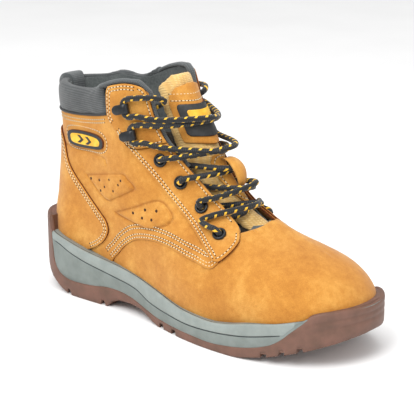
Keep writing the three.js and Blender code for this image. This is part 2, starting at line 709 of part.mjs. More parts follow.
const eyeletPlace = (row, side) => placeOf(EYELETS[row].x, EYELETS[row].z, side);
const HOOK_EXIT = { forward: 10, aside: 6.2 };
const hookPlace = (row, side, up) => placeOf(
  HOOKS[row].x + HOOK_EXIT.forward,
  HOOKS[row].z + up * HOOK_EXIT.aside,
  side,
);
const hookLace = hookBase + GAP + LACE_RADIUS;
const HOOK_LOOP = [[8, -6.7, hookLace], [3.4, -6.8, hookLace], [-0.3, -4.6, hookLace], [-0.9, 0, hookLace],
  [-0.3, 4.6, hookLace], [3.4, 6.8, hookLace], [8, 6.7, hookLace]];
function roundHook(row, side) {
  const frame = frameAt(HOOKS[row].x, HOOKS[row].z, side);
  const rising = Math.sign(frame.up.z);
  return HOOK_LOOP.map(([u, v, n]) => new THREE.Vector3(u, v * rising, n).applyMatrix4(frame.matrix));
}

// Heights of the two strands where they cross in the middle, lower and upper.
const CROSSING = {
  toRow3: { low: -4.3, high: 0.6, rise: 11 },
  toRow2: { low: 1.9, high: 6.8, rise: 4 },
  toRow1: { low: -2.4, high: 2.4, rise: 2 },
  toHook2: { low: 1.9, high: 6.8, rise: 1 },
  toHook1: { low: 4, high: 8.9, rise: 1 },
};
const BAR_RISE = 16;

function strand(side, level) {
  const points = [];
  const crossUnder = (row, from, crossing) => {
    const path = track(eyeletPlace(row, from), eyeletPlace(row - 1, -from), crossing.rise);
    points.push(...leaveEyelet(path), path.at(path.total / 2, crossing[level]), ...arriveUnder(path));
  };
  const first = track(eyeletPlace(3, side), eyeletPlace(2, -side), CROSSING.toRow3.rise);
  points.push(...[...INTO_EYELET].reverse().map(([d, h]) => first.at(d, h)));
  points.push(first.at(EDGE_REACH, underFacing - 0.3), first.at(first.total / 2, CROSSING.toRow3[level]));
  points.push(...arriveUnder(first));
  crossUnder(2, -side, CROSSING.toRow2);
  crossUnder(1, side, CROSSING.toRow1);
  const toHook2 = track(eyeletPlace(0, -side), hookPlace(1, side, -1), CROSSING.toHook2.rise);
  points.push(...leaveEyelet(toHook2), toHook2.at(toHook2.total / 2, CROSSING.toHook2[level]));
  points.push(toHook2.at(toHook2.total - 14, overFacing + 0.5), ...roundHook(1, side));
  const toHook1 = track(hookPlace(1, side, 1), hookPlace(0, -side, -1), CROSSING.toHook1.rise);
  points.push(toHook1.at(14, overFacing + 0.8), toHook1.at(toHook1.total / 2, CROSSING.toHook1[level]));
  points.push(toHook1.at(toHook1.total - 14, overFacing + 0.8), ...roundHook(0, -side));
  return points;
}

// The end of each strand goes over the bound edge and down behind the hook panel.
const TAIL = [[85.5, 170, 5.4], [92.3, 168.5, 1], [89.5, 165.5, -6], [82, 161, -7.3], [77, 154, -7.3]];
const tailPoints = (side) => TAIL.map(([x, z, h]) => overSide(x, z, side, h));

const bar = track(eyeletPlace(3, -1), eyeletPlace(3, 1), BAR_RISE);
const barPoints = [
  ...[...OUT_OF_EYELET, [EDGE_REACH, overFacing + 1]].map(([d, h]) => bar.at(d, h)),
  bar.at(bar.total / 2, overFacing + 1.2),
  ...[...OUT_OF_EYELET, [EDGE_REACH, overFacing + 1]].reverse().map(([d, h]) => bar.at(bar.total - d, h)),
];
const laceRoute = [
  ...[...strand(-1, 'low'), ...tailPoints(1)].reverse(),
  ...barPoints,
  ...strand(1, 'high'),
  ...tailPoints(-1),
];

// A curve whose rings sit on its own points, so that the tight turns keep enough of them.
class Route extends THREE.CatmullRomCurve3 {
  getPointAt(u, target) {
    return this.getPoint(u, target);
  }

  getTangentAt(u, target) {
    return this.getTangent(u, target);
  }
}

function tubeAlong(points, radius, sides = 6) {
  const route = new Route(points, false, 'centripetal');
  const section = new THREE.Shape();
  section.absarc(0, 0, radius, 0, 2 * Math.PI);
  return solidOf(new THREE.ExtrudeGeometry(section, {
    curveSegments: sides / 2,
    steps: points.length - 1,
    extrudePath: route,
  }));
}
const laceTunnel = tubeAlong(laceRoute, LACE_RADIUS + GAP);

// Holes for the eyelets, the hook rivets and the lace on one side, as one cutter.
function holesOn(side) {
  const eyelets = EYELETS.map(({ x, z }) => placed(
    solidOf(rod(barrelRadius + GAP, -10, 10))
      .add(solidOf(rod(boreRadius + EYELET_FLANGE + GAP, overlayTop - GAP, 10)))
      .add(solidOf(rod(barrelRadius + CLINCH + GAP, -10, GAP - clinchSeat))),
    frameAt(x, z, side).matrix,
  ));
  const hooks = HOOKS.map(({ x, z }) => placed(hookRivetHole(), frameAt(x, z, side).matrix));
  return [...eyelets, ...hooks].reduce((all, one) => all.add(one), laceTunnel);
}
const holes = { '-1': holesOn(-1), 1: holesOn(1) };

// ---------------------------------------------------------------- upper
const quarterRegions = {};
SIDES.forEach(({ side, name }) => {
  const region = onSide(side, quarterOutline(side)).intersect(aboveFloor);
  quarterRegions[side] = region;
  const quarter = layer(blocks.skin, blocks.quarterIn, region).subtract(holes[side]);
  add(`quarter_${name}`, largestPiece(quarter), 'nubuck');

  const hookPanel = onSide(side, lifted(hookPanelOutline, side));
  add(`hook_panel_${name}`, layer(blocks.overlay, blocks.overlaySeat,
    hookPanel).subtract(holes[side]), 'nubuck');

  const eyestay = onSide(side, eyestayOutline)
    .subtract(onSide(side, lifted(hookPanelOutline, side), GAP));
  add(`eyestay_${name}`, largestPiece(
    layer(blocks.overlay, blocks.overlaySeat, eyestay).subtract(holes[side]),
  ), 'nubuck');
});

add('vamp', layer(blocks.vamp, blocks.vampIn, sidePrism(vampOutline).intersect(aboveFloor)), 'nubuck');

const capRegion = sidePrism([[TOECAP_BACK_X, 0], [290, 0], [290, 100], [TOECAP_BACK_X, 100]]);
const capFlange = blocks.toecapOut.subtract(blocks.toecapFlange)
  .intersect(band(floorAbove(GAP), floorAbove(GAP + TOECAP_WALL), -60, 290));
const capWall = layer(blocks.toecapOut, blocks.toecapIn, aboveFloor);
add('steel_toecap', capWall.add(capFlange).intersect(capRegion), 'steel');
const stripRegion = sidePrism([[STRIP_BACK_X, 0], [TOECAP_BACK_X - GAP, 0], [TOECAP_BACK_X - GAP, 100],
  [STRIP_BACK_X, 100]]);
add('toecap_edge_strip', capWall.intersect(stripRegion), 'foam');

const heelPanelOutline = [...heelPanelEdge, [4, 0], [-60, 0]];
const heelPanel = layer(blocks.overlay, blocks.overlaySeat,
  sidePrism(heelPanelOutline).intersect(aboveFloor));
add('heel_panel', heelPanel, 'nubuck');

const counterOutline = [...smooth([[-60, 97], [-10, 96], [18, 88], [36, 72], [43, 52],
  [44, 25]]), [44, 0], [-60, 0]];
add('heel_counter', layer(
  blocks.counterOut,
  blocks.counterIn,
  sidePrism(counterOutline).intersect(aboveFloor),
), 'board');

// Linings: one for the shaft and heel, one for the forefoot.
const LINING_SEAM_X = 150;
function shaftLiningOutline(side) {
  const top = side < 0 ? COLLAR_TOP.lateral : COLLAR_TOP.medial;
  const drop = (COLLAR_ROLL + GAP) / GRADE.z;
  return [
    [LINING_SEAM_X, 0],
    ...[...throat].reverse().filter(([x, z]) => x < LINING_SEAM_X && z < top(x) - drop - 0.5),
    ...collarTopLine(side, COLLAR_ROLL + GAP, -60, 77),
    [-60, 0],
  ];
}
const liningFoot = (x) => floorAbove(GAP)(x)
  + ((TOECAP_WALL + GAP) / GRADE.z) * ramp(x, STRIP_BACK_X - 17, STRIP_BACK_X - 7);
const aboveLiningFoot = band(liningFoot, () => FAR, -60, 290);
const shaftLining = layer(
  blocks.liningOut,
  blocks.liningIn,
  bothSides(shaftLiningOutline(-1), shaftLiningOutline(1)).intersect(aboveLiningFoot),
);
add('shaft_lining', largestPiece(shaftLining.subtract(holes[-1]).subtract(holes[1])), 'lining');
const vampLiningOutline = [
  [LINING_SEAM_X + GAP, 0],
  [290, 0],
  [290, 106],
  [200, 106],
  [176, 96],
  [170, 88],
  [168.5, 80],
  [163, 85],
  [LINING_SEAM_X + GAP, 92.5],
];
add('vamp_lining', largestPiece(layer(
  blocks.liningOut,
  blocks.liningIn,
  sidePrism(vampLiningOutline).intersect(aboveLiningFoot),
).subtract(holes[-1]).subtract(holes[1])), 'lining');

// Padded collar: a knit cover that rolls over the top, with foam behind it.
function collarStrip(side, foot, xHigh) {
  const line = collarTopLine(side, 0, -60, xHigh);
  return [...line, ...[...line].reverse().map(([x, z]) => [x, foot(x, z)])];
}
const rollFoot = (x, z) => z - COLLAR_ROLL / GRADE.z;
const inFrontOfThroat = (side) => onSide(side, [
  ...throat.filter(([, z]) => z > 140),
  [150, 140],
  [150, 210],
  [79, 210],
]);
const roll = bothSides(collarStrip(-1, rollFoot, 82), collarStrip(1, rollFoot, 82))
  .subtract(inFrontOfThroat(-1)).subtract(inFrontOfThroat(1));
const wallRegion = bothSides(
  collarStrip(-1, COLLAR_FOOT, COLLAR_FRONT_X - GAP),
  collarStrip(1, COLLAR_FOOT, COLLAR_FRONT_X - GAP),
);
const collar = layer(blocks.collar, blocks.quarterIn, wallRegion)
  .add(layer(blocks.collar, blocks.liningIn, roll));
add('collar', largestPiece(collar), 'knit');
const FOAM_FOOT_Z = 139.5;
const foamStrip = (side) => {
  const line = collarTopLine(side, COLLAR_ROLL + GAP, -60, 38);
  return [...line, [-60, FOAM_FOOT_Z], [38, FOAM_FOOT_Z]];
};
add('collar_foam', largestPiece(layer(
  blocks.counterOut,
  blocks.foamIn,
  bothSides(foamStrip(-1), foamStrip(1)),
)), 'foam');

// Bound edges that line the throat from the collar down to the first eyelet.
const BINDING_WIDTH = 2.5;
SIDES.forEach(({ side, name }) => {
  const top = side < 0 ? COLLAR_TOP.lateral : COLLAR_TOP.medial;
  const edge = throat.filter(([x, z]) => z > 120 && z < top(x) - 0.2);
  const outline = [
    ...edge.map(([x, z]) => [x + GAP, z]),
    ...edge.map(([x, z]) => [x + GAP + BINDING_WIDTH, z + 0.6]).reverse(),
  ];
  const binding = layer(blocks.skin, blocks.liningIn, onSide(side, outline));
  add(`facing_binding_${name}`, largestPiece(binding.subtract(laceTunnel)), 'knit');
});
// Badge on the quarter: a rubber frame with a plain raised chevron plate.
const badgeOutline = smooth([[-6, 128], [-4, 132.5], [6, 134.6], [20, 135.2], [33, 134.6], [39, 131.5],
  [39, 127],
  [35, 123.8], [20, 122], [4, 121.4], [-4, 123.2], [-6, 128]]).slice(0, -1);
add('side_badge', layer(blocks.overlay, blocks.overlaySeat, onSide(-1, badgeOutline)
  .subtract(onSide(-1, heelPanelOutline, GAP))), 'blackRubber');
const badgeMarkOutline = [[2, 124.5], [12, 124.8], [16, 128.6], [13, 132.2], [3, 131.6], [6, 128.2]];
add('side_badge_mark', layer(blocks.overlayTwiceOut, blocks.overlayTwiceIn,
  onSide(-1, badgeMarkOutline)), 'yellow');

// Pull tab: a folded knit tape that straddles the collar's top at the heel.
const PULL_TAB = { halfWidth: 11, wall: 2.2, drop: 16 };
const tabBlock = block(-COLLAR_PUFF - GAP - PULL_TAB.wall);
const tabSeat = block(-COLLAR_PUFF - GAP);
const tabInner = block((place) => liningIn(place) + GAP);
const tabInnerFace = block((place) => liningIn(place) + GAP + PULL_TAB.wall);
const tabWidth = (outline) => sidePrism(outline, -PULL_TAB.halfWidth * GRADE.y,
  PULL_TAB.halfWidth * GRADE.y);
const tabTop = COLLAR_TOP.lateral(-40);
const tabOver = tabWidth([[-60, tabTop - PULL_TAB.drop], [-15, tabTop - PULL_TAB.drop],
  [-15, tabTop + (GAP + PULL_TAB.wall) / GRADE.z], [-60, tabTop + (GAP + PULL_TAB.wall) / GRADE.z]]);
const tabHole = sidePrism([[-60, 100], [-15, 100], [-15, tabTop + GAP / GRADE.z],
  [-60, tabTop + GAP / GRADE.z]]);
add('heel_pull_tab', tabBlock.subtract(tabInnerFace).intersect(tabOver)
  .subtract(tabSeat.subtract(tabInner).intersect(tabHole)), 'knit');

// ---------------------------------------------------------------- laces
add('lace', tubeAlong(laceRoute, LACE_RADIUS), 'lace');

const AGLET_ROUTE = [[76, 153.1, -7.2], [72, 147, -7.3], [66, 138, -7.4]];
SIDES.forEach(({ side, name }) => {
  const points = AGLET_ROUTE.map(([x, z, h]) => overSide(x, z, side, h));
  add(`aglet_${name}`, tubeAlong(points, LACE_RADIUS - AGLET_WALL), 'blackMetal');
});

// ---------------------------------------------------------------- tongue
// It folds back at the top of its sewn-in part, so the free flap is a piece of its own. Its
// foot slopes up behind the fold and leaves it room to swing.
const FOLD = { x: 125, z: 137, slope: 0.31 };
const TONGUE_HALF = 23.5;
function frontPrism(outline) {
  const points = outline.map(([y, z]) => [y * GRADE.y, z * GRADE.z]);
  const geometry = extruded(points, FAR);
  geometry.rotateX(Math.PI / 2).rotateZ(Math.PI / 2);
  geometry.translate(40 * GRADE.x, 0, 0);
  return solidOf(geometry);
}
const mirrored = (outline) => [...outline, ...[...outline].reverse().map(([y, z]) => [-y, z])];
const flapOutline = mirrored([[TONGUE_HALF, FOLD.z + GAP], [TONGUE_HALF, 172], [21.5, 181],
  [16, 187.5], [6, 190.5]]);
const underFlap = sidePrism([[20, 0], [20, FOLD.z + GAP + (FOLD.x - 20) * FOLD.slope],
  [FOLD.x, FOLD.z + GAP], [FOLD.x + 60, FOLD.z + GAP], [FOLD.x + 60, 0]]);
add('tongue_flap', blocks.tongue.subtract(blocks.tongueIn).intersect(frontPrism(flapOutline))
  .subtract(underFlap).subtract(laceTunnel), 'tongueKnit');
const panelOutline = mirrored([[20.5, FOLD.z + 1.5], [20.5, 168], [18, 176], [11, 182], [4, 183.5]]);
add('tongue_panel', layer(
  blocks.tonguePanelOut,
  blocks.tonguePanelIn,
  frontPrism(panelOutline),
).subtract(underFlap).subtract(laceTunnel), 'nubuck');
const labelOutline = mirrored([[15.5, 143.5], [17, 145], [17, 164.5], [15.5, 166]]);
add('tongue_label', layer(blocks.tongueLabelOut, blocks.tongueLabelIn, frontPrism(labelOutline))
  .subtract(laceTunnel), 'blackRubber');
add('tongue_label_mark', largestPiece(layer(
  blocks.tongueMarkOut,
  blocks.tongueMarkIn,
  frontPrism([[-11, 156], [11, 156], [11, 161.5], [-11, 161.5]]),
).subtract(laceTunnel)), 'yellow');

const TONGUE_FOOT_X = 176;
const lowerRegion = sidePrism(
  [[60, 60], [TONGUE_FOOT_X, 60], [TONGUE_FOOT_X, FOLD.z], [60, FOLD.z]],
  -TONGUE_HALF * GRADE.y,
  TONGUE_HALF * GRADE.y,
);
const tongueSurface = sidePrism([[60, FOLD.z], [60, 128], [100, 100], [130, 76], [150, 62],
  [TONGUE_FOOT_X, 62],
  [TONGUE_FOOT_X, 110], [160, FOLD.z]]);
add('tongue_base', largestPiece(blocks.tongue.subtract(blocks.tongueIn).intersect(lowerRegion)
  .intersect(tongueSurface).subtract(laceTunnel)), 'tongueKnit');

const keeperOutline = mirrored([[5, 101.5], [9.5, 106], [12.5, 116], [12.5, 126], [9, 131], [3, 133]]);
const BRIDGE = { halfWidth: 4.5, low: 106.5, high: 128 };
const across = (low, high) => frontPrism([[-BRIDGE.halfWidth, low], [BRIDGE.halfWidth, low],
  [BRIDGE.halfWidth, high], [-BRIDGE.halfWidth, high]]);
const bridge = layer(blocks.bridgeOut, blocks.bridgeIn, across(BRIDGE.low, BRIDGE.high));
const bridgeEnds = layer(
  blocks.bridgeOut,
  blocks.tonguePanelIn,
  across(BRIDGE.low, BRIDGE.low + TRIM).add(across(BRIDGE.high - TRIM, BRIDGE.high)),
);
const keeper = layer(blocks.tonguePanelOut, blocks.tonguePanelIn, frontPrism(keeperOutline))
  .subtract(blocks.tongue).add(bridge).add(bridgeEnds);
add('lace_keeper', largestPiece(keeper.subtract(laceTunnel)), 'nubuck');

// ---------------------------------------------------------------- eyelets and hooks
SIDES.forEach(({ side, name }) => {
  EYELETS.forEach(({ name: number, x, z }) => {
    const eyelet = placed(solidOf(ringProfile(eyeletProfile)), frameAt(x, z, side).matrix);
    add(`eyelet_${name}_${number}`, eyelet, 'blackMetal');
  });
  HOOKS.forEach(({ name: number, x, z }) => {
    add(`hook_${name}_${number}`, placed(hookSolid(), frameAt(x, z, side).matrix), 'blackMetal');
  });
});

export default boot;
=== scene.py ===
# %% [markdown]
# # A tan nubuck safety boot
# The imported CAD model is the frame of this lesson. It sets the overall size and every moving
# part, and what follows dresses it: leather panels, padded knit, stitching, laces and sole.
# The boot's lengths are in millimetres until a mesh is made. Meshes, camera and lights use
# metres.

# %% Load the frame
import math

import bmesh
import bpy
import numpy as np
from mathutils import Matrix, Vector
from mathutils.geometry import delaunay_2d_cdt


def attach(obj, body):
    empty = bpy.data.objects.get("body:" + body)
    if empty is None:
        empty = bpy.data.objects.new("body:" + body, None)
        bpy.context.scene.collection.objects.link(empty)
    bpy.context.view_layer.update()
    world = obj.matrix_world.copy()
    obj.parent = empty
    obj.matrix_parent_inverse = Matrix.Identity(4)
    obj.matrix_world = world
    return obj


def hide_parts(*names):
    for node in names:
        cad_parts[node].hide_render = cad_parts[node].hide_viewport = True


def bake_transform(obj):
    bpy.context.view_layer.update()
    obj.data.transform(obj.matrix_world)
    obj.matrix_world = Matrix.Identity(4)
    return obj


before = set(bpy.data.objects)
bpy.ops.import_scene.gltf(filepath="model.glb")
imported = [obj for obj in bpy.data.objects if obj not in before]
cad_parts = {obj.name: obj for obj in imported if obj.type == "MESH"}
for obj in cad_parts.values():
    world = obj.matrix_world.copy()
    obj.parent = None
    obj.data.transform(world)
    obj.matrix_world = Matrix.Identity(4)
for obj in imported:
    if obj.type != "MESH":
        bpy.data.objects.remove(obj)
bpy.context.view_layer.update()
MM = 0.001

# %% [markdown]
# ## Camera, floor and light
# A product picture of a shoe uses a long lens from a little above the ground, so that the
# toe doesn't swell. The camera looks at a point inside the instep from 1 m away.

# %% Camera
LOOK_AT = Vector((0.0888, 0.0031, 0.0845))
AZIMUTH = math.radians(40.5)
ELEVATION = math.radians(16.5)
DISTANCE = 1.0
LENS = 113.9


def away_from(azimuth, elevation):
    return Vector((
        math.sin(azimuth) * math.cos(elevation),
        -math.cos(azimuth) * math.cos(elevation),
        math.sin(elevation),
    ))


camera = bpy.data.objects.new("camera", bpy.data.cameras.new("camera"))
bpy.context.collection.objects.link(camera)
camera.data.lens = LENS
camera.location = LOOK_AT + away_from(AZIMUTH, ELEVATION) * DISTANCE
camera.rotation_mode = "QUATERNION"
camera.rotation_quaternion = (-away_from(AZIMUTH, ELEVATION)).to_track_quat("-Z", "Y")
bpy.context.scene.camera = camera

# %% [markdown]
# The floor could be a curved sweep, but a large plane and a white world meet without a
# visible line at this exposure. Large area lights give the soft, almost shadowless look of
# a light tent: a key from the camera's left, a wide top light and a weak fill.

# %% Floor and lights
bpy.ops.mesh.primitive_plane_add(size=12, location=(0, 0, 0))
floor = bpy.context.object
floor.name = "floor"


def area_light(name, azimuth, elevation, distance, size, watts):
    light = bpy.data.objects.new(name, bpy.data.lights.new(name, "AREA"))
    bpy.context.collection.objects.link(light)
    direction = away_from(math.radians(azimuth), math.radians(elevation))
    light.location = LOOK_AT + direction * distance
    light.rotation_euler = (-direction).to_track_quat("-Z", "Y").to_euler()
    light.data.shape = "DISK"
    light.data.size = size
    light.data.energy = watts


area_light("key", 5, 48, 1.5, 0.9, 13.5)
area_light("top", 60, 82, 1.4, 1.2, 7.5)
area_light("fill", 85, 22, 1.8, 1.2, 3.5)
world = bpy.data.worlds.new("studio")
bpy.context.scene.world = world
world.use_nodes = True
world.node_tree.nodes["Background"].inputs["Color"].default_value = (1, 1, 1, 1)
world.node_tree.nodes["Background"].inputs["Strength"].default_value = 0.85
bpy.context.scene.view_settings.view_transform = "Standard"

# %% [markdown]
# ## The last
# A boot is pulled over a wooden form called a last. The CAD model describes that form by
# level sections: where each starts at the heel, where it ends at the front, and its half
# breadths in between. The same few numbers are repeated here, because every panel, seam
# and pad lies on that one surface. A sculpted mesh would do too, but a formula can be asked
# for a point, a direction or a distance anywhere.

# %% Curves through points
def pchip(xs, ys):
    """A curve through the points that never overshoots between them."""
    xs, ys = np.array(xs, float), np.array(ys, float)
    steps = np.diff(xs)
    slopes = np.diff(ys) / steps
    tangents = np.concatenate([slopes[:1], np.zeros(len(xs) - 2), slopes[-1:]])
    for i in range(1, len(xs) - 1):
        before, after = slopes[i - 1], slopes[i]
        if before * after > 0:
            w1 = 2 * steps[i] + steps[i - 1]
            w2 = steps[i] + 2 * steps[i - 1]
            tangents[i] = (w1 + w2) / (w1 / before + w2 / after)

    def value(x):
        x = np.clip(x, xs[0], xs[-1])
        i = np.clip(np.searchsorted(xs, x, side="right") - 1, 0, len(xs) - 2)
        t = (x - xs[i]) / steps[i]
        return (
            (2 * t**3 - 3 * t**2 + 1) * ys[i]
            + (t**3 - 2 * t**2 + t) * steps[i] * tangents[i]
            + (3 * t**2 - 2 * t**3) * ys[i + 1]
            + (t**3 - t**2) * steps[i] * tangents[i + 1]
        )

    return value


def run_lengths(points):
    """How far along a line of points each one is."""
    return np.concatenate([[0], np.cumsum(np.linalg.norm(np.diff(points, axis=0), axis=1))])


def ramp(value, low, high):
    t = np.clip((value - low) / (high - low), 0, 1)
    return t * t * (3 - 2 * t)


def spline(points, per_span=8):
    """A smooth line through the points, which a pattern cutter would draw with a curve rule."""
    points = np.array(points, float)
    ends = [points[0] * 2 - points[1], *points, points[-1] * 2 - points[-2]]
    out = []
    for p0, p1, p2, p3 in zip(ends, ends[1:], ends[2:], ends[3:]):
        for k in range(per_span):
            t = k / per_span
            out.append(0.5 * (
                2 * p1 + (p2 - p0) * t + (2 * p0 - 5 * p1 + 4 * p2 - p3) * t**2
                + (3 * p1 - p0 - 3 * p2 + p3) * t**3
            ))
    return np.array([*out, points[-1]])


# %% The last's sections
TREAD_CENTRE_X = 24
LEVEL = [10, 25, 40, 52, 62, 70, 77, 83, 90, 100, 112, 125, 140, 155, 170, 185, 205]
back_x = pchip(LEVEL, [
    -31, -33, -35, -36, -35.5, -35, -34, -33.5, -33, -32, -31, -30.5, -30.5, -31, -32, -33, -34,
])
front_x = pchip(LEVEL, [
    258, 260, 259.5, 254.5, 245, 229, 207, 190, 176, 161, 148.5, 138, 126, 116, 107, 100, 93,
])
BREADTH_LEVEL = [10, 40, 60, 80, 100, 125, 150, 185]
HEEL_BREADTH = pchip(BREADTH_LEVEL, [31, 33, 32, 29, 27.5, 28, 30, 33])
WAIST_BREADTH = {
    -1: pchip(BREADTH_LEVEL, [36, 38, 38, 37, 36, 36, 37, 38]),
    1: pchip(BREADTH_LEVEL, [28, 31, 34, 34, 33.5, 34.5, 37, 38]),
}
BALL_BREADTH = {
    -1: pchip(BREADTH_LEVEL, [51, 54, 50, 40, 29, 26, 26, 26]),
    1: pchip(BREADTH_LEVEL, [42, 45, 40, 27, 23, 24, 26, 26]),
}
WAIST_X, BALL_X = 70, 160
heel_round = pchip([10, 60, 125, 185], [38, 38, 40, 42])
toe_round = pchip([10, 40, 60, 72, 80, 90, 110, 185], [62, 66, 78, 100, 104, 96, 80, 74])
toe_power = pchip([10, 50, 75, 100, 185], [2.3, 2.25, 2, 1.9, 2])
HEEL_POWER = 2.1


def centre_y(x):
    return 6 * ramp(x, 100, 265)


def hermite(t, from_value, to_value, from_slope, to_slope):
    return (
        (2 * t**3 - 3 * t**2 + 1) * from_value + (t**3 - 2 * t**2 + t) * from_slope
        + (3 * t**2 - 2 * t**3) * to_value + (t**3 - t**2) * to_slope
    )


def rounded_end(distance, length, power):
    inside = np.clip(distance / length, 0, 1)
    return (1 - (1 - inside) ** power) ** (1 / power)


def half_breadth(x, z, side):
    heel = HEEL_BREADTH(z)
    waist = np.where(side < 0, WAIST_BREADTH[-1](z), WAIST_BREADTH[1](z))
    ball = np.where(side < 0, BALL_BREADTH[-1](z), BALL_BREADTH[1](z))
    rear, fore = WAIST_X, BALL_X - WAIST_X
    into, out_of = (waist - heel) / rear, (ball - waist) / fore
    level = into * out_of <= 0
    weights = (2 * fore + rear) / np.where(level, 1, into) + (fore + 2 * rear) / np.where(level, 1, out_of)
    slope = np.where(level, 0, 3 * (rear + fore) / weights)
    t_rear = np.clip(x / rear, 0, 1)
    t_fore = np.clip((x - rear) / fore, 0, 1)
    breadth = np.where(
        x < WAIST_X,
        hermite(t_rear, heel, waist, 0, slope * rear),
        hermite(t_fore, waist, ball, slope * fore, 0),
    )
    return (
        breadth * rounded_end(x - back_x(z), heel_round(z), HEEL_POWER)
        * rounded_end(front_x(z) - x, toe_round(z), toe_power(z))
    )


# %% [markdown]
# A place on the skin is a pair: how far round the boot it is, and its height. Round the
# boot, 0 is the middle of the heel, 1 the middle of the front and 2 the heel again, with the
# outer side first, and numbers below 0 come round the heel the other way.

# %% Places on the skin
def walk(a, z):
    turn = np.mod(a, 2.0)
    side = np.where(turn <= 1, -1.0, 1.0)
    along = np.where(turn <= 1, turn, 2 - turn)
    x = back_x(z) + (front_x(z) - back_x(z)) * (1 - np.cos(np.pi * along)) / 2
    return x, centre_y(x) + side * half_breadth(x, z, side), side


def skin(a, z):
    x, y, _ = walk(a, z)
    return np.stack([x - TREAD_CENTRE_X, y, z + 0 * x], axis=-1)


def unit(vectors):
    return vectors / np.linalg.norm(vectors, axis=-1, keepdims=True)


def slopes_at(places):
    a, z = places[..., 0], places[..., 1]
    round_boot = (skin(a + 0.004, z) - skin(a - 0.004, z)) / 0.008
    upward = skin(a, z + 0.5) - skin(a, z - 0.5)
    return round_boot, upward


def normals_at(places):
    round_boot, upward = slopes_at(places)
    return unit(np.cross(round_boot, upward))


def over(places, height):
    """Points over the skin at these places, this many millimetres out."""
    height = np.broadcast_to(height, places.shape[:-1])
    return skin(places[..., 0], places[..., 1]) + normals_at(places) * height[..., None]


def at_side(points, side, round_heel=False):
    """Places from side-view points [x, z]. round_heel counts the inner side below 0."""
    x, z = np.array(points, float).T
    share = np.clip((x - back_x(z)) / (front_x(z) - back_x(z)), 0, 1)
    along = np.arccos(1 - 2 * share) / np.pi
    if side < 0:
        return np.stack([along, z], axis=-1)
    return np.stack([-along if round_heel else 2 - along, z], axis=-1)


def nudged(places, vectors):
    """Places moved along the skin by small vectors."""
    round_boot, upward = slopes_at(places)
    e = (round_boot * round_boot).sum(-1)
    f = (round_boot * upward).sum(-1)
    g = (upward * upward).sum(-1)
    u = (round_boot * vectors).sum(-1)
    v = (upward * vectors).sum(-1)
    area = e * g - f * f
    return places + np.stack([(g * u - f * v) / area, (e * v - f * u) / area], axis=-1)


def along_line(places, closed=False):
    points = skin(places[:, 0], places[:, 1])
    if closed:
        ahead, behind = np.roll(points, -1, axis=0), np.roll(points, 1, axis=0)
        return unit(ahead - behind)
    return unit(np.gradient(points, axis=0))


def beside(places, distance, closed=False):
    """The line moved sideways over the skin, to the left of its way as seen from outside."""
    left = np.cross(normals_at(places), along_line(places, closed))
    return nudged(places, left * distance)


def even(places, spacing, closed=False):
    """The same line with its points a set distance apart on the skin."""
    line = np.vstack([places, places[:1]]) if closed else places
    points = skin(line[:, 0], line[:, 1])
    lengths = run_lengths(points)
    count = max(int(round(lengths[-1] / spacing)), 3)
    marks = np.linspace(0, lengths[-1], count + 1)
    if closed:
        marks = marks[:-1]
    return np.stack([np.interp(marks, lengths, line[:, k]) for k in (0, 1)], axis=-1)


print("skin at the toe, mm:", skin(np.array([1.0]), np.array([40.0])).round(1))

# %% [markdown]
# ## Finishes
# Every finish is made of shader nodes: noise for mottling and grain, waves for ribs and
# weave. Nubuck is leather sanded to a short nap, so it is matt, a little lighter where the
# fibres stand up, with soft clouds of tone from handling. A picture of leather could be
# wrapped on instead, but noise in the boot's own space has no seams and any resolution.

# %% Node helpers
def linear(code):
    """A screen colour such as #DCA04B as the linear light a shader wants."""
    parts = [int(code[i:i + 2], 16) / 255 for i in (1, 3, 5)]
    return (*[p / 12.92 if p < 0.04045 else ((p + 0.055) / 1.055) ** 2.4 for p in parts], 1)


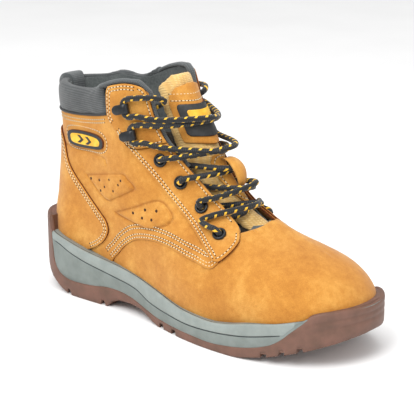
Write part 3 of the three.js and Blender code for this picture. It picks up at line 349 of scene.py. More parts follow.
class Finish:
    """A material under construction: adds nodes and links them by plain names."""

    def __init__(self, name, roughness, **sockets):
        self.material = bpy.data.materials.new(name)
        self.material.use_nodes = True
        self.tree = self.material.node_tree
        self.shader = self.tree.nodes["Principled BSDF"]
        self.shader.inputs["Roughness"].default_value = roughness
        for socket, value in sockets.items():
            self.shader.inputs[socket.replace("_", " ")].default_value = value
        self.place = self.add("ShaderNodeTexCoord").outputs["Object"]

    def add(self, kind, inputs=None, **settings):
        node = self.tree.nodes.new(kind)
        for key, value in settings.items():
            setattr(node, key, value)
        for key, value in (inputs or {}).items():
            if isinstance(value, bpy.types.NodeSocket):
                self.tree.links.new(value, node.inputs[key])
            else:
                node.inputs[key].default_value = value
        return node

    def noise(self, size_mm, detail=3, roughness=0.5):
        """Cloudy noise whose blobs are about this many millimetres across."""
        node = self.add("ShaderNodeTexNoise", {
            "Vector": self.place, "Scale": 1 / (size_mm * MM),
            "Detail": detail, "Roughness": roughness,
        })
        return node.outputs["Fac"]

    def math(self, operation, first, second=0.0, third=0.5, clamp=False):
        inputs = {0: first, 1: second, 2: third}
        node = self.add("ShaderNodeMath", inputs, operation=operation, use_clamp=clamp)
        return node.outputs[0]

    def colours(self, factor, *stops):
        """A colour for each level of factor; stops are (level, screen colour)."""
        node = self.add("ShaderNodeValToRGB", {"Fac": factor})
        elements = node.color_ramp.elements
        while len(elements) < len(stops):
            elements.new(0.5)
        for element, (level, code) in zip(elements, stops):
            element.position = level
            element.color = linear(code)
        return node.outputs["Color"]

    def mixed(self, factor, first, second, blend="MIX"):
        node = self.add("ShaderNodeMix", data_type="RGBA", blend_type=blend)
        for socket, value in ((node.inputs[0], factor), (node.inputs[6], first), (node.inputs[7], second)):
            if isinstance(value, bpy.types.NodeSocket):
                self.tree.links.new(value, socket)
            else:
                socket.default_value = value
        return node.outputs[2]

    def colour(self, socket):
        self.tree.links.new(socket, self.shader.inputs["Base Color"])
        return self

    def rough(self, socket):
        self.tree.links.new(socket, self.shader.inputs["Roughness"])
        return self

    def bump(self, height, depth_mm, strength=1.0):
        normal = self.shader.inputs["Normal"]
        inputs = {"Height": height, "Distance": depth_mm * MM, "Strength": strength}
        if normal.is_linked:
            inputs["Normal"] = normal.links[0].from_socket
        self.tree.links.new(self.add("ShaderNodeBump", inputs).outputs["Normal"], normal)
        return self

    def stripes(self, socket, pitch):
        """A wave from 0 to 1 with this pitch along a number, such as a distance in mm."""
        turns = self.math("MULTIPLY", socket, 2 * math.pi / pitch)
        return self.math("MULTIPLY_ADD", self.math("SINE", turns), 0.5, 0.5)

    def along_across(self):
        """The two numbers a piece carries in its map: millimetres along it and across it."""
        map_node = self.add("ShaderNodeUVMap", uv_map="mm")
        split = self.add("ShaderNodeSeparateXYZ", {0: map_node.outputs["UV"]})
        return split.outputs["X"], split.outputs["Y"]


# %% Nubuck, its cut edges and thread
def nubuck(name, dark, mid, light):
    f = Finish(name, 0.88, Sheen_Weight=0.16, Sheen_Roughness=0.5, Specular_IOR_Level=0.25)
    clouds = f.noise(26, detail=4, roughness=0.55)
    nap = f.noise(4.5, detail=5, roughness=0.65)
    fibre = f.noise(0.5, detail=2)
    blend = f.math("ADD", f.math("MULTIPLY", clouds, 0.6), f.math("MULTIPLY", nap, 0.4))
    tone = f.colours(blend, (0.34, dark), (0.5, mid), (0.68, light))
    speckle = f.colours(fibre, (0.35, "#D9D2C6"), (0.65, "#FFFFFF"))
    # Painted shade: the pressed attribute darkens the colour in every groove, crease, seam and pit.
    sunk_shade = f.add("ShaderNodeAttribute", attribute_name="pressed").outputs["Fac"]
    pale = f.mixed(0.55, tone, speckle, "MULTIPLY")
    f.colour(f.mixed(f.math("MULTIPLY", sunk_shade, 0.75, clamp=True), pale, linear("#8A4E1C")))
    f.rough(f.math("MULTIPLY_ADD", nap, 0.2, 0.76, clamp=True))
    f.bump(f.noise(0.7, detail=4, roughness=0.7), 0.12, 0.55)
    return f.bump(f.noise(9, detail=3), 0.5, 0.35).material


leather = nubuck("nubuck", "#B4752B", "#C58738", "#D9A14F")
leather_light = nubuck("nubuck_trim", "#BA7D33", "#CB9140", "#DDA85A")

edge = Finish("cut_edge", 0.8, Specular_IOR_Level=0.2)
edge.colour(edge.colours(edge.noise(1.5, detail=4), (0.3, "#4E2410"), (0.7, "#7B4020")))
edge.bump(edge.noise(0.8, detail=3), 0.2, 0.6)
cut_edge = edge.material

yarn = Finish("thread", 0.7, Sheen_Weight=0.2)
yarn.colour(yarn.colours(yarn.noise(0.6, detail=3), (0.3, "#CBB98F"), (0.7, "#E8DBBB")))
thread = yarn.bump(yarn.noise(0.35), 0.1, 0.5).material

# Painted shade: the dark finish of the bodies that stand for needle holes and air holes.
hole = Finish("hole_shade", 0.95)
hole_shade = hole.colour(hole.colours(hole.noise(1), (0.3, "#2A1408"), (0.7, "#44240F"))).material

# %% [markdown]
# ## Leather panels
# Each panel is cut to an outline and laid on the last. Its mesh is a flat triangulation of
# the outline, finer beside the edge, the stitching and anything embossed, which is then
# bent on to the skin and given its thickness. Cutting a grid with booleans would work too,
# but leaves ragged edges; here the rings inside the outline give every edge the small
# rounding that cut leather has.

# %% Measuring on the skin
FLATTEN = np.array([280.0, 1.0])


def inside(points, loop):
    """Which points lie in the closed loop."""
    x, y = points.T
    within = np.zeros(len(points), bool)
    for (x0, y0), (x1, y1) in zip(loop, np.roll(loop, -1, axis=0)):
        if y0 != y1:
            crosses = ((y0 > y) != (y1 > y)) & (x < (x1 - x0) * (y - y0) / (y1 - y0) + x0)
            within ^= crosses
    return within


def distance_to(points, line, closed=False):
    """How far each point is from a line of points."""
    starts, ends = (line, np.roll(line, -1, axis=0)) if closed else (line[:-1], line[1:])
    best = np.full(len(points), 1e9)
    for start, end in zip(starts, ends):
        way = end - start
        t = np.clip(((points - start) @ way) / max(way @ way, 1e-9), 0, 1)
        best = np.minimum(best, ((points - start - t[:, None] * way) ** 2).sum(-1))
    return np.sqrt(best)


def circle_at(side, x, z, radius, count=18):
    """A round loop of places about a side-view point."""
    middle = at_side([[x, z]], side)
    turns = np.linspace(0, 2 * np.pi, count, endpoint=False)
    normal = normals_at(middle)[0]
    across = np.cross([0, 0, 1.0], normal)
    across /= np.linalg.norm(across)
    vectors = radius * (np.cos(turns)[:, None] * across + np.sin(turns)[:, None] * np.cross(normal, across))
    return nudged(np.repeat(middle, count, axis=0), vectors)


def grid_places(loop, step):
    """Evenly spread places that fill the loop's box."""
    rows = []
    low, high = loop.min(axis=0), loop.max(axis=0)
    for row, z in enumerate(np.arange(low[1], high[1], step * 0.87)):
        a = np.linspace(low[0], high[0], 160)
        points = skin(a, np.full(160, z))
        lengths = run_lengths(points)
        marks = np.arange(step * (0.25 + 0.5 * (row % 2)), lengths[-1], step)
        rows.append(np.stack([np.interp(marks, lengths, a), np.full(len(marks), z)], axis=-1))
    return np.vstack(rows)


def thinned(places, spacing):
    """The places without those that crowd an earlier one."""
    cells = np.round(skin(places[:, 0], places[:, 1]) / spacing).astype(int)
    _, first = np.unique(cells, axis=0, return_index=True)
    return places[np.sort(first)]


# %% Making a piece from points
def make_piece(name, points, faces, materials, which=None, body="boot", slot=None, stands_for=()):
    """A mesh object from points in millimetres, riding on a body."""
    mesh = bpy.data.meshes.new(name)
    mesh.from_pydata([tuple(p) for p in np.asarray(points, float) * MM], [], [tuple(f) for f in faces])
    for material in materials:
        mesh.materials.append(material)
    if which is not None:
        mesh.polygons.foreach_set("material_index", np.asarray(which, dtype=np.int32))
    mesh.polygons.foreach_set("use_smooth", [True] * len(mesh.polygons))
    mesh.update()
    piece = bpy.data.objects.new(name, mesh)
    bpy.context.collection.objects.link(piece)
    if body:
        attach(piece, body)
    if stands_for:
        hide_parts(*stands_for)
    return piece


def put_map(piece, along, across):
    """Stores two numbers per point, in millimetres, as the map that ribs and weave follow."""
    mesh = piece.data
    layer = mesh.uv_layers.new(name="mm")
    corner = np.empty(len(mesh.loops), dtype=np.int32)
    mesh.loops.foreach_get("vertex_index", corner)
    layer.data.foreach_set("uv", np.stack([along[corner], across[corner]], axis=-1).ravel())


def edge_profile(distance, rounding):
    """How far the top face drops near the edge."""
    near = np.clip(rounding - distance, 0, rounding)
    return rounding - np.sqrt(rounding**2 - near**2)


RING_STEPS = [0.25, 0.7, 1.5]
BESIDE_A_LINE = (-1.9, -0.8, 0, 0.8, 1.9)
CLOSEST_POINTS = 0.55


def panel(name, outline, top, bottom, finish=None, rounding=0.45, step=3.4, holes=(), lines=(),
          relief=None, slot="nubuck", body="boot", stands_for=(), surface=over, spacing=1.7,
          rim_finish=None):
    """A sheet cut to an outline of places, from bottom to top over the skin."""
    loop = even(outline, spacing, closed=True)
    if np.cross(loop * FLATTEN, np.roll(loop, -1, axis=0) * FLATTEN).sum() < 0:
        loop = loop[::-1]
    loops = [loop, *holes]
    flat_loop = loop * FLATTEN
    rings = [beside(loop, ring, closed=True) for ring in RING_STEPS]
    dense = [beside(line, offset) for line in lines for offset in BESIDE_A_LINE]
    inner = np.vstack([*rings, *dense, grid_places(loop, step)])
    rim = skin(loop[:, 0], loop[:, 1])
    inner = inner[inside(inner * FLATTEN, flat_loop)]
    inner = inner[distance_to(skin(inner[:, 0], inner[:, 1]), rim, closed=True) > RING_STEPS[0] * 0.8]
    for cut in holes:
        inner = inner[~inside(inner * FLATTEN, beside(cut, -0.4, closed=True) * FLATTEN)]
    inner = thinned(inner, CLOSEST_POINTS)
    places = np.vstack([*loops, inner])
    edges, start = [], 0
    for one in loops:
        edges += [(start + i, start + (i + 1) % len(one)) for i in range(len(one))]
        start += len(one)
    flat = [Vector(p) for p in places * FLATTEN]
    flat, _, faces, *_ = delaunay_2d_cdt(flat, edges, [], 1, 1e-5)
    places = np.array([(p.x, p.y) for p in flat]) / FLATTEN
    faces = np.array(faces)
    centres = places[faces].mean(axis=1) * FLATTEN
    keep = np.ones(len(faces), bool)
    for cut in holes:
        keep &= ~inside(centres, cut * FLATTEN)
    faces = faces[keep]
    used = np.unique(faces)
    renumber = np.full(len(places), -1)
    renumber[used] = np.arange(len(used))
    places, faces = places[used], renumber[faces]
    ground = skin(places[:, 0], places[:, 1])
    gap = distance_to(ground, rim, closed=True)
    for cut in holes:
        gap = np.minimum(gap, distance_to(ground, skin(cut[:, 0], cut[:, 1]), closed=True))
    height = top - edge_profile(gap, rounding)
    if relief is not None:
        height = height + relief(places, ground) * ramp(gap, 0, 1.2)
    upper = surface(places, height)
    lower = surface(places, np.full(len(places), float(bottom)))
    sides = {(i, j) for face in faces for i, j in zip(face, np.roll(face, -1))}
    border = [(i, j) for i, j in sides if (j, i) not in sides]
    count = len(places)
    all_faces = [tuple(f) for f in faces]
    all_faces += [(c + count, b + count, a + count) for a, b, c in faces]
    all_faces += [(j, i, i + count, j + count) for i, j in border]
    which = [0] * (2 * len(faces)) + [1] * len(border)
    materials = [finish or leather, rim_finish or cut_edge]
    piece = make_piece(name, np.vstack([upper, lower]), all_faces, materials, which,
                       body=body, slot=slot, stands_for=stands_for)
    # How far each point sinks is kept as pressed, which the nubuck finish darkens as painted shade.
    if relief is not None:
        pressed = piece.data.attributes.new("pressed", "FLOAT", "POINT")
        sunk = np.clip(-relief(places, ground) - 0.25, 0, 1)
        pressed.data.foreach_set("value", np.concatenate([sunk, sunk]))
    print(f"{name}: {count} points, {len(rim)} round the edge")
    return piece

# %% [markdown]
# ## Stitching
# A lockstitch shows as a row of short thread ends that dive into needle holes. One long
# dashed texture would be cheaper, but real little bodies of thread catch the light, so each
# stitch is a small rounded bar laid along the seam, and a flat dark body at each end is
# painted shade for its needle hole.

# %% Stitches
STITCH = {"pitch": 2.9, "length": 1.95, "width": 0.8, "height": 0.5}
HOLE_WIDTH, HOLE_DEPTH = 1.05, 0.3
STITCH_LIFT, HOLE_LIFT = 0.08, 0.04
BAR_RINGS = [(-0.5, 0.25), (-0.32, 0.85), (0.0, 1.0), (0.32, 0.85), (0.5, 0.25)]
BAR_SIDES = 6


def oval_bars(centres, ways, ups, length, width, height):
    """Many small rounded bars as one set of points and faces."""
    sides = np.cross(ups, ways)
    points, faces = [], []
    turns = np.linspace(0, 2 * np.pi, BAR_SIDES, endpoint=False)
    for centre, way, up, side in zip(centres, ways, ups, sides):
        start = len(points)
        for place, swell in BAR_RINGS:
            for turn in turns:
                points.append(
                    centre + way * place * length
                    + side * math.cos(turn) * width / 2 * swell + up * math.sin(turn) * height / 2 * swell
                )
        for ring in range(len(BAR_RINGS) - 1):
            for k in range(BAR_SIDES):
                a, b = start + ring * BAR_SIDES + k, start + ring * BAR_SIDES + (k + 1) % BAR_SIDES
                faces.append((a, b, b + BAR_SIDES, a + BAR_SIDES))
        faces.append(tuple(start + k for k in reversed(range(BAR_SIDES))))
        faces.append(tuple(start + (len(BAR_RINGS) - 1) * BAR_SIDES + k for k in range(BAR_SIDES)))
    return points, faces


def stitching(name, rows, height, body="boot", surface=over):
    """Rows of stitches over the skin, and dark bodies as painted shade for their needle holes, as two pieces."""
    bars, bar_faces, dots, dot_faces = [], [], [], []
    for row in rows:
        row = even(row, STITCH["pitch"])
        middles = (row[1:] + row[:-1]) / 2
        up = normals_at(middles)
        way = unit(np.diff(surface(row, height), axis=0))
        points, faces = oval_bars(
            surface(middles, height + STITCH_LIFT), way, up, STITCH["length"], STITCH["width"], STITCH["height"])
        bar_faces += [tuple(i + len(bars) for i in face) for face in faces]
        bars += points
        way = np.vstack([way, way[-1:]])
        points, faces = oval_bars(
            surface(row, height + HOLE_LIFT), way, normals_at(row),
            HOLE_WIDTH, HOLE_WIDTH, HOLE_DEPTH)
        dot_faces += [tuple(i + len(dots) for i in face) for face in faces]
        dots += points
    make_piece(f"stitching_{name}", bars, bar_faces, [thread], body=body, slot="nubuck")
    make_piece(f"hole_shades_{name}", dots, dot_faces, [hole_shade], body=body, slot="nubuck")
    print(f"stitching {name}: {len(bars) // (BAR_SIDES * len(BAR_RINGS))} stitches")


# %% [markdown]
# ## Upper
# The pattern lines are drawn in the side view, as a shoe designer tapes them on a last. The
# lower edge of the quarters laps over the vamp, and a facing, a hook panel and a heel panel
# are stitched on top of them.

# %% Pattern lines
SIDES = {"lateral": -1, "medial": 1}
THROAT = spline([
    [79, 186], [80, 179], [82, 172], [85, 163], [89, 154], [94, 145], [99, 138], [109, 128],
    [117, 120], [126, 112], [135, 104], [145, 96.5], [154, 90.5], [163, 85], [170, 80],
], 4)
EYESTAY_SEAM = spline([
    [46, 152], [55, 144], [62, 136.5], [71, 129], [79, 122.5], [88, 115], [97, 107], [106, 98.5],
    [117, 90], [130, 82], [144, 74], [153, 69], [160, 64.5],
], 4)
VAMP_SEAM = spline([
    [46, 10], [48, 35], [56, 45], [64, 53], [76, 60.5], [92, 64.2], [106, 65], [120, 64.2],
    [134, 62], [146, 60.5], [156, 58.5], [162, 60], [167, 68], [168.5, 78],
], 4)
HEEL_EDGE = spline([
    [-30, 131], [-20, 128.5], [-13, 121], [-7, 106.5], [4, 95], [20, 83], [34, 73.5], [42, 68],
    [45, 61], [41, 53], [32, 45.5], [18, 38.5], [4, 30],
], 4)
COLLAR_TOP = {
    -1: pchip(
        [-60, 0, 19, 31, 41, 52, 63, 72, 77, 90],
        [170, 169, 170, 172.5, 177, 181, 183, 183, 181, 170],
    ),
    1: pchip(
        [-60, 0, 19, 31, 41, 52, 66, 76, 82, 95],
        [170, 169, 171, 174.5, 180, 184.5, 187.5, 188, 185, 170],
    ),
}
COLLAR_FOOT = pchip([-60, -20, 7, 32, 46], [146, 146, 147, 150, 153])
COLLAR_FRONT_X = 46
FEATHER = pchip(
    [-60, -45, -20, 0, 20, 53, 73, 104, 135, 163, 179, 197, 218, 237, 259, 290],
    [54, 52, 48.5, 45, 41, 36, 32.5, 27, 22, 21, 23, 27, 30.5, 35, 40, 43],
)
HIDDEN = 7  # how far a panel runs on below the sole's edge
EYELETS = [(96, 125), (113, 110), (132, 94), (155, 79)]
HOOKS = [(67, 161), (74, 142)]
BARREL_HOLE = 3.9


def collar_top(x, side):
    """The collar's top line. Its padding bulges up beside the heel on the inner side."""
    bulge = 5.5 * np.exp(-(((x - 6) / 15) ** 2))
    return np.where(side < 0, COLLAR_TOP[-1](x), COLLAR_TOP[1](x) + bulge)


def lifted(points, side):
    """The inner side's collar stands higher, and what reaches it rises with it."""
    points = np.array(points, float)
    if side > 0:
        rise = COLLAR_TOP[1](points[:, 0]) - COLLAR_TOP[-1](points[:, 0])
        points[:, 1] += rise * ramp(points[:, 1], 150, 176)
    return points


def below_sole(x_from, x_to, count=24):
    x = np.linspace(x_from, x_to, count)
    return np.stack([x, FEATHER(x) - HIDDEN], axis=-1)


# %% [markdown]
# The vamp is one piece from the throat round the toe. It shows a few soft creases where the
# foot bends, made by moving the surface, not only by shading. The deepest creases are also
# darkened in colour by the finish: painted shade.

# %% Vamp
def clouds(ground, size, seed=0.0):
    """Slow waves over the leather, as even as noise but smooth and cheap."""
    x, y, z = (ground / size).T
    return (
        np.sin(x * 1.7 + 1.3 * np.sin(y * 1.1 + seed)) * np.sin(z * 1.9 + seed)
        + np.sin(y * 2.3 + z * 1.2 + 1.7 * seed) * 0.6
    ) / 1.6


def vamp_relief(places, ground):
    crease = 0
    for x, depth, lean in ((118, 0.35, 0.25), (131, 0.45, 0.15), (143, 0.3, 0.35)):
        across = ground[:, 0] - x - lean * (ground[:, 2] - 60) + 4 * np.sin(ground[:, 1] / 14)
        crease = crease - depth * np.exp(-((across / 2.6) ** 2)) * ramp(ground[:, 2], 42, 62)
    return crease + 0.22 * clouds(ground, 17)


def vamp_outline():
    seam = VAMP_SEAM + np.array([-5.0, 3.0])
    seam = seam[seam[:, 1] > FEATHER(seam[:, 0]) - HIDDEN]
    top = np.array([[172.0, 84.0], [177.5, 88.5]])
    lateral = at_side(np.vstack([seam, top]), -1)
    medial = at_side(np.vstack([seam, top]), 1)[::-1]
    foot_side = below_sole(44, 258, 60)
    foot = np.vstack([at_side(foot_side, 1), at_side(foot_side[::-1], -1)])
    return np.vstack([lateral, medial, foot])


VAMP_TOP = -1.0
panel("vamp_leather", vamp_outline(), VAMP_TOP, -2.8, step=3.0, relief=vamp_relief, stands_for=("vamp",))

# %% [markdown]
# The quarters carry two pressed lozenges with air holes, and a pressed line below the badge.
# Each air hole is a pit in the surface with a small dark body over it, painted shade for the
# hole. Leather pressed in a hot mould stands up with a soft shoulder and sinks a little round
# it, so the height follows the distance from each outline. Where it sinks, the finish also
# darkens the colour: painted shade.

# %% Pressed decoration
LOZENGES = [
    spline([[15, 99], [32, 103], [60, 109], [66, 106], [73, 101], [69, 97], [53, 89], [40, 85],
            [15, 99]], 3),
    spline([[52, 77], [75, 86], [91, 93], [100, 94], [109, 88], [112, 84], [108, 79], [98, 75], [87, 72],
            [52, 77]], 3),
]
AIR_HOLES = [
    (22, 98), (33, 99), (46, 102), (40, 95), (57, 100), (51, 94), (35, 91), (60, 104),
    (74, 81.5), (86, 86), (84, 79.5), (97, 87), (94, 80),
]
PRESSED_LINE = spline([[-12, 119.5], [2, 119], [20, 118.5], [38, 117.5], [41, 114]], 5)


def quarter_relief(side):
    lozenges = [skin(*at_side(line, side).T) for line in LOZENGES]
    pressed = skin(*at_side(PRESSED_LINE, side).T)
    holes = skin(*at_side(AIR_HOLES, side).T)

    def relief(places, ground):
        height = 0.3 * clouds(ground, 21, seed=side)
        for line, outline in zip(LOZENGES, lozenges):
            flat = at_side(line, side) * FLATTEN
            within = inside(places * FLATTEN, flat)
            gap = distance_to(ground, outline, closed=True)
            height = height + np.where(within, 1.2 * ramp(gap, 0, 1.8), 0)
            height = height - 0.85 * np.exp(-((gap / 1.0) ** 2))
        height = height - 0.75 * np.exp(-((distance_to(ground, pressed) / 1.1) ** 2))
        for point in holes:
            height = height - 0.9 * np.exp(-(((ground - point) ** 2).sum(-1) / 0.8))
        return height

    return relief


def quarter_outline(side):
    throat = THROAT[(THROAT[:, 1] < collar_top(THROAT[:, 0], side) - 3.5) & (THROAT[:, 1] > 82)][::-1]
    tops = np.array([[x, collar_top(x, side) - 4] for x in (77, 70, 62, 54, COLLAR_FRONT_X)])
    feet = np.array([[x, COLLAR_FOOT(x) + 1.5] for x in (COLLAR_FRONT_X - 0.5, 32, 16, 0, -16, -34)])
    seam = VAMP_SEAM[VAMP_SEAM[:, 1] > FEATHER(VAMP_SEAM[:, 0]) - HIDDEN]
    foot = below_sole(-34, 46)
    return at_side(np.vstack([seam, throat, tops, feet, foot]), side)


def hole_lines(side):
    out = []
    for x, z in AIR_HOLES:
        out.append(at_side([[x - 1.2, z], [x, z], [x + 1.2, z]], side))
    return out


QUARTER_TOP = 0.0
for name, side in SIDES.items():
    lines = [even(at_side(line, side), 1.5) for line in (*LOZENGES, PRESSED_LINE)]
    panel(
        f"quarter_leather_{name}", quarter_outline(side), QUARTER_TOP, -2.0,
        holes=[circle_at(side, x, z, BARREL_HOLE) for x, z in EYELETS],
        lines=lines + hole_lines(side), relief=quarter_relief(side), stands_for=(f"quarter_{name}",),
    )

# %% Air holes
AIR_HOLE_WIDTH, AIR_HOLE_DEPTH, AIR_HOLE_LIFT = 2.3, 0.6, 0.95
# Each dark body over an air-hole pit is painted shade for the hole.
for name, side in SIDES.items():
    centres = at_side(AIR_HOLES, side)
    up = normals_at(centres)
    way = unit(np.cross(up, [0, 1.0, 0.3]))
    points, faces = oval_bars(
        over(centres, QUARTER_TOP + AIR_HOLE_LIFT), way, up, AIR_HOLE_WIDTH, AIR_HOLE_WIDTH, AIR_HOLE_DEPTH)
    make_piece(f"air_hole_shades_{name}", points, faces, [hole_shade], slot="nubuck")

# %% [markdown]
# The facing, hook panel and heel panel lie on the quarters and show their dark cut edges.
# The outlines run close beside each other, and touch in places, where real ones are butted.

# %% Facings and hook panels
OVERLAY_TOP = 1.7
OVERLAY_FOOT = 0.1
HOOK_PANEL = {
    "foot": [[51, 147], [60, 138.5], [67, 133.5], [74, 131.5], [83, 133], [92, 136], [99, 138]],
    "front": [[99, 138], [94, 145], [89, 154], [85, 163], [82, 170], [78, 176.5], [71, 179]],
    "rear": [[71, 179], [63, 179.3], [55, 177.6], [49.5, 176], [46.5, 172], [46.3, 160], [47.5, 151],
             [51, 147]],
}
hook_foot, hook_front, hook_rear = (spline(HOOK_PANEL[k], 4) for k in ("foot", "front", "rear"))
facing_nose = spline([[160, 64.5], [166, 64.5], [170.5, 70], [171.5, 76], [168, 80.5]], 4)


def eyestay_outline(side):
    seam = EYESTAY_SEAM[EYESTAY_SEAM[:, 0] > 52.5]
    front = THROAT[(THROAT[:, 0] > 99.5) & (THROAT[:, 0] < 165)][::-1]
    gap = hook_foot[::-1] + np.array([0.3, -0.7])
    return at_side(np.vstack([seam, facing_nose, front, gap]), side)


for name, side in SIDES.items():
    panel(
        f"facing_leather_{name}", eyestay_outline(side), OVERLAY_TOP, OVERLAY_FOOT, step=2.6,
        holes=[circle_at(side, x, z, BARREL_HOLE) for x, z in EYELETS],
        stands_for=(f"eyestay_{name}",),
    )
    hook_outline = lifted(np.vstack([hook_foot, hook_front, hook_rear]), side)
    panel(
        f"hook_leather_{name}", at_side(hook_outline, side), OVERLAY_TOP, OVERLAY_FOOT, step=2.6,
        stands_for=(f"hook_panel_{name}",),
    )

# %% Heel panel
def heel_outline():
    edge_line = HEEL_EDGE[HEEL_EDGE[:, 1] > FEATHER(HEEL_EDGE[:, 0]) - HIDDEN]
    foot_x = np.linspace(HEEL_EDGE[-1][0], -34, 14)
    foot = np.stack([foot_x, FEATHER(foot_x) - HIDDEN], axis=-1)
    lateral = np.vstack([at_side(edge_line, -1, True), at_side(foot, -1, True)])
    medial = np.vstack([at_side(edge_line, 1, True), at_side(foot, 1, True)])[::-1]
    return np.vstack([lateral, medial])


def heel_relief(places, ground):
    """A seam runs down the middle, and the leather beside it waves softly."""
    # The sunk seam is darkened in colour by the nubuck finish: painted shade.
    seam = -0.7 * np.exp(-((ground[:, 1] / 0.9) ** 2))
    return seam + 0.18 * clouds(ground, 15, seed=2.0)


back_seam = np.stack([np.zeros(30), np.linspace(56, 128, 30)], axis=-1)
panel(
    "heel_leather", heel_outline(), OVERLAY_TOP, OVERLAY_FOOT, step=3.0, lines=[back_seam],
    relief=heel_relief, stands_for=("heel_panel",),
)

# %% Seams of the upper
TWO_ROWS = (1.8, 4.2)


def inset(line, side, distance, round_heel=False):
    """A seam line run beside an edge; positive is to the left of its way, seen from outside."""
    return beside(even(at_side(line, side, round_heel), 1.5), distance if side < 0 else -distance)


def above_sole(line):
    return line[line[:, 1] > FEATHER(line[:, 0]) + 1.5]


for name, side in SIDES.items():
    vamp_line = above_sole(VAMP_SEAM)[:-3]
    stitching(f"vamp_seam_{name}", [inset(vamp_line, side, d) for d in (1.9, 4.2, 8.2, 10.5)], QUARTER_TOP)
    eyestay_line = EYESTAY_SEAM[EYESTAY_SEAM[:, 0] > 55]
    facing_front = THROAT[(THROAT[:, 0] > 101) & (THROAT[:, 0] < 160)]
    hook_line = lifted(hook_rear, side)
    stitching(f"facing_{name}", [
        *[inset(eyestay_line, side, d) for d in TWO_ROWS],
        inset(facing_front, side, -2.4),
        inset(facing_nose[3:], side, 2.4),
        *[inset(hook_line, side, d) for d in TWO_ROWS],
        inset(lifted(hook_front[2:-2], side), side, 2.2),
        inset(hook_foot[3:-2], side, 1.8),
    ], OVERLAY_TOP)
    heel_line = above_sole(HEEL_EDGE[4:])
    stitching(f"heel_panel_{name}", [inset(heel_line, side, d) for d in (-1.9, -4.2)], OVERLAY_TOP)
    x = np.linspace(-33, COLLAR_FRONT_X - 4, 40)
    under_collar = np.stack([x, COLLAR_FOOT(x)], axis=-1)
    stitching(f"under_collar_{name}", [
        at_side(under_collar - np.array([0, drop]), side, True) for drop in (3.0, 5.6)], QUARTER_TOP)

# %% [markdown]
# ## Knit, lining, rubber and metal
# The collar is covered in a ribbed knit: rows of loops run round the ankle, so the pattern
# follows the map each piece carries instead of the room. The lining is a brushed mesh, and
# the black parts are powder-coated metal or moulded rubber.

# %% Soft finishes
def knitted(name, dark, mid, light, rib, row, depth):
    f = Finish(name, 0.92, Sheen_Weight=0.25, Sheen_Roughness=0.6, Specular_IOR_Level=0.2)
    along, across = f.along_across()
    ribs = f.stripes(along, rib)
    rows = f.stripes(across, row)
    loops = f.math("MULTIPLY", ribs, rows)
    wear = f.noise(7, detail=4)
    # The colour follows the loops as the bump does, darker between them: painted shade.
    level = f.math("ADD", f.math("MULTIPLY", loops, 0.45), f.math("MULTIPLY", wear, 0.6))
    f.colour(f.colours(level, (0.15, dark), (0.45, mid), (0.8, light)))
    f.bump(loops, depth, 0.8)
    return f.bump(f.noise(0.5, detail=2), 0.15, 0.4).material


collar_knit = knitted("collar_knit", "#2D2F30", "#3F4243", "#5A5E5E", 1.3, 1.7, 0.28)
roll_knit = knitted("collar_roll", "#393C3D", "#4F5354", "#686D6E", 1.3, 1.3, 0.25)
tongue_knit = knitted("tongue_knit", "#C79C5C", "#DDB56F", "#EFD08F", 2.4, 1.2, 0.5)


def brushed(name, dark, light, size=1.4):
    f = Finish(name, 0.95, Sheen_Weight=0.2, Specular_IOR_Level=0.15)
    pile = f.noise(size, detail=3, roughness=0.6)
    broad = f.noise(16, detail=3)
    f.colour(f.colours(f.math("ADD", f.math("MULTIPLY", pile, 0.5), f.math("MULTIPLY", broad, 0.5)),
                       (0.35, dark), (0.65, light)))
    return f.bump(pile, 0.2, 0.6).material


lining_cloth = brushed("lining_mesh", "#4A4E4E", "#686D6C")
gusset_cloth = brushed("gusset_mesh", "#2E2A26", "#49423B")
footbed_cloth = brushed("footbed_fabric", "#2E3234", "#4C5255", 0.9)
board_fibre = brushed("board_fibre", "#A88F6D", "#C9B391", 2.0)
foam_cells = brushed("foam_cells", "#C9C6B8", "#E6E3D6", 0.8)

# %% Hard finishes
def moulded(name, dark, light, roughness, size=6.0, grain=0.08, **sockets):
    f = Finish(name, roughness, **sockets)
    cloud = f.noise(size, detail=4, roughness=0.6)
    f.colour(f.colours(cloud, (0.35, dark), (0.65, light)))
    f.rough(f.math("MULTIPLY_ADD", cloud, 0.2, roughness - 0.1, clamp=True))
    return f.bump(f.noise(0.6, detail=3), grain, 0.5).material


black_metal = moulded("black_metal", "#101214", "#1D2024", 0.34, 3, 0.02, Metallic=0.25)
black_rubber = moulded("black_rubber", "#1C1D1E", "#2C2D2E", 0.55, 4, 0.06)
yellow_ink = moulded("yellow_mark", "#DFA51C", "#F2C33A", 0.5, 5, 0.05)
steel = moulded("steel", "#8E9194", "#B4B7BA", 0.38, 8, 0.03, Metallic=0.9)
midsole_foam = moulded("midsole_foam", "#6F7773", "#7D8581", 0.62, 12, 0.06)
midsole_light = moulded("midsole_bead", "#818985", "#8E9692", 0.58, 12, 0.05)
# Painted shade: the dark finish in the midsole's groove and along its top where the upper goes in.
groove_shade = moulded("midsole_groove_shade", "#3E4342", "#505655", 0.8, 8, 0.05)
gum_rubber = moulded("gum_rubber", "#5F4335", "#745143", 0.56, 14, 0.08)

# %% [markdown]
# A bootlace of this kind is a round braid of black yarn with slanted flecks of yellow. The
# map along the lace gives the slant: a yellow yarn winds round it, and the black yarns of
# the braid cross over it twice a turn.

# %% Lace braid
braid = Finish("lace_braid", 0.85, Sheen_Weight=0.2)
length_mm, turn = braid.along_across()
fleck = braid.math("FRACT", braid.math("ADD", braid.math("MULTIPLY", length_mm, 1 / 7.5), turn))
part = braid.math("FRACT", braid.math("MULTIPLY", turn, 2.0))
shown = braid.math(
    "MULTIPLY", braid.math("LESS_THAN", fleck, 0.25), braid.math("LESS_THAN", part, 0.6))
yarns = braid.math("MULTIPLY", braid.stripes(length_mm, 1.5), braid.stripes(turn, 0.25))
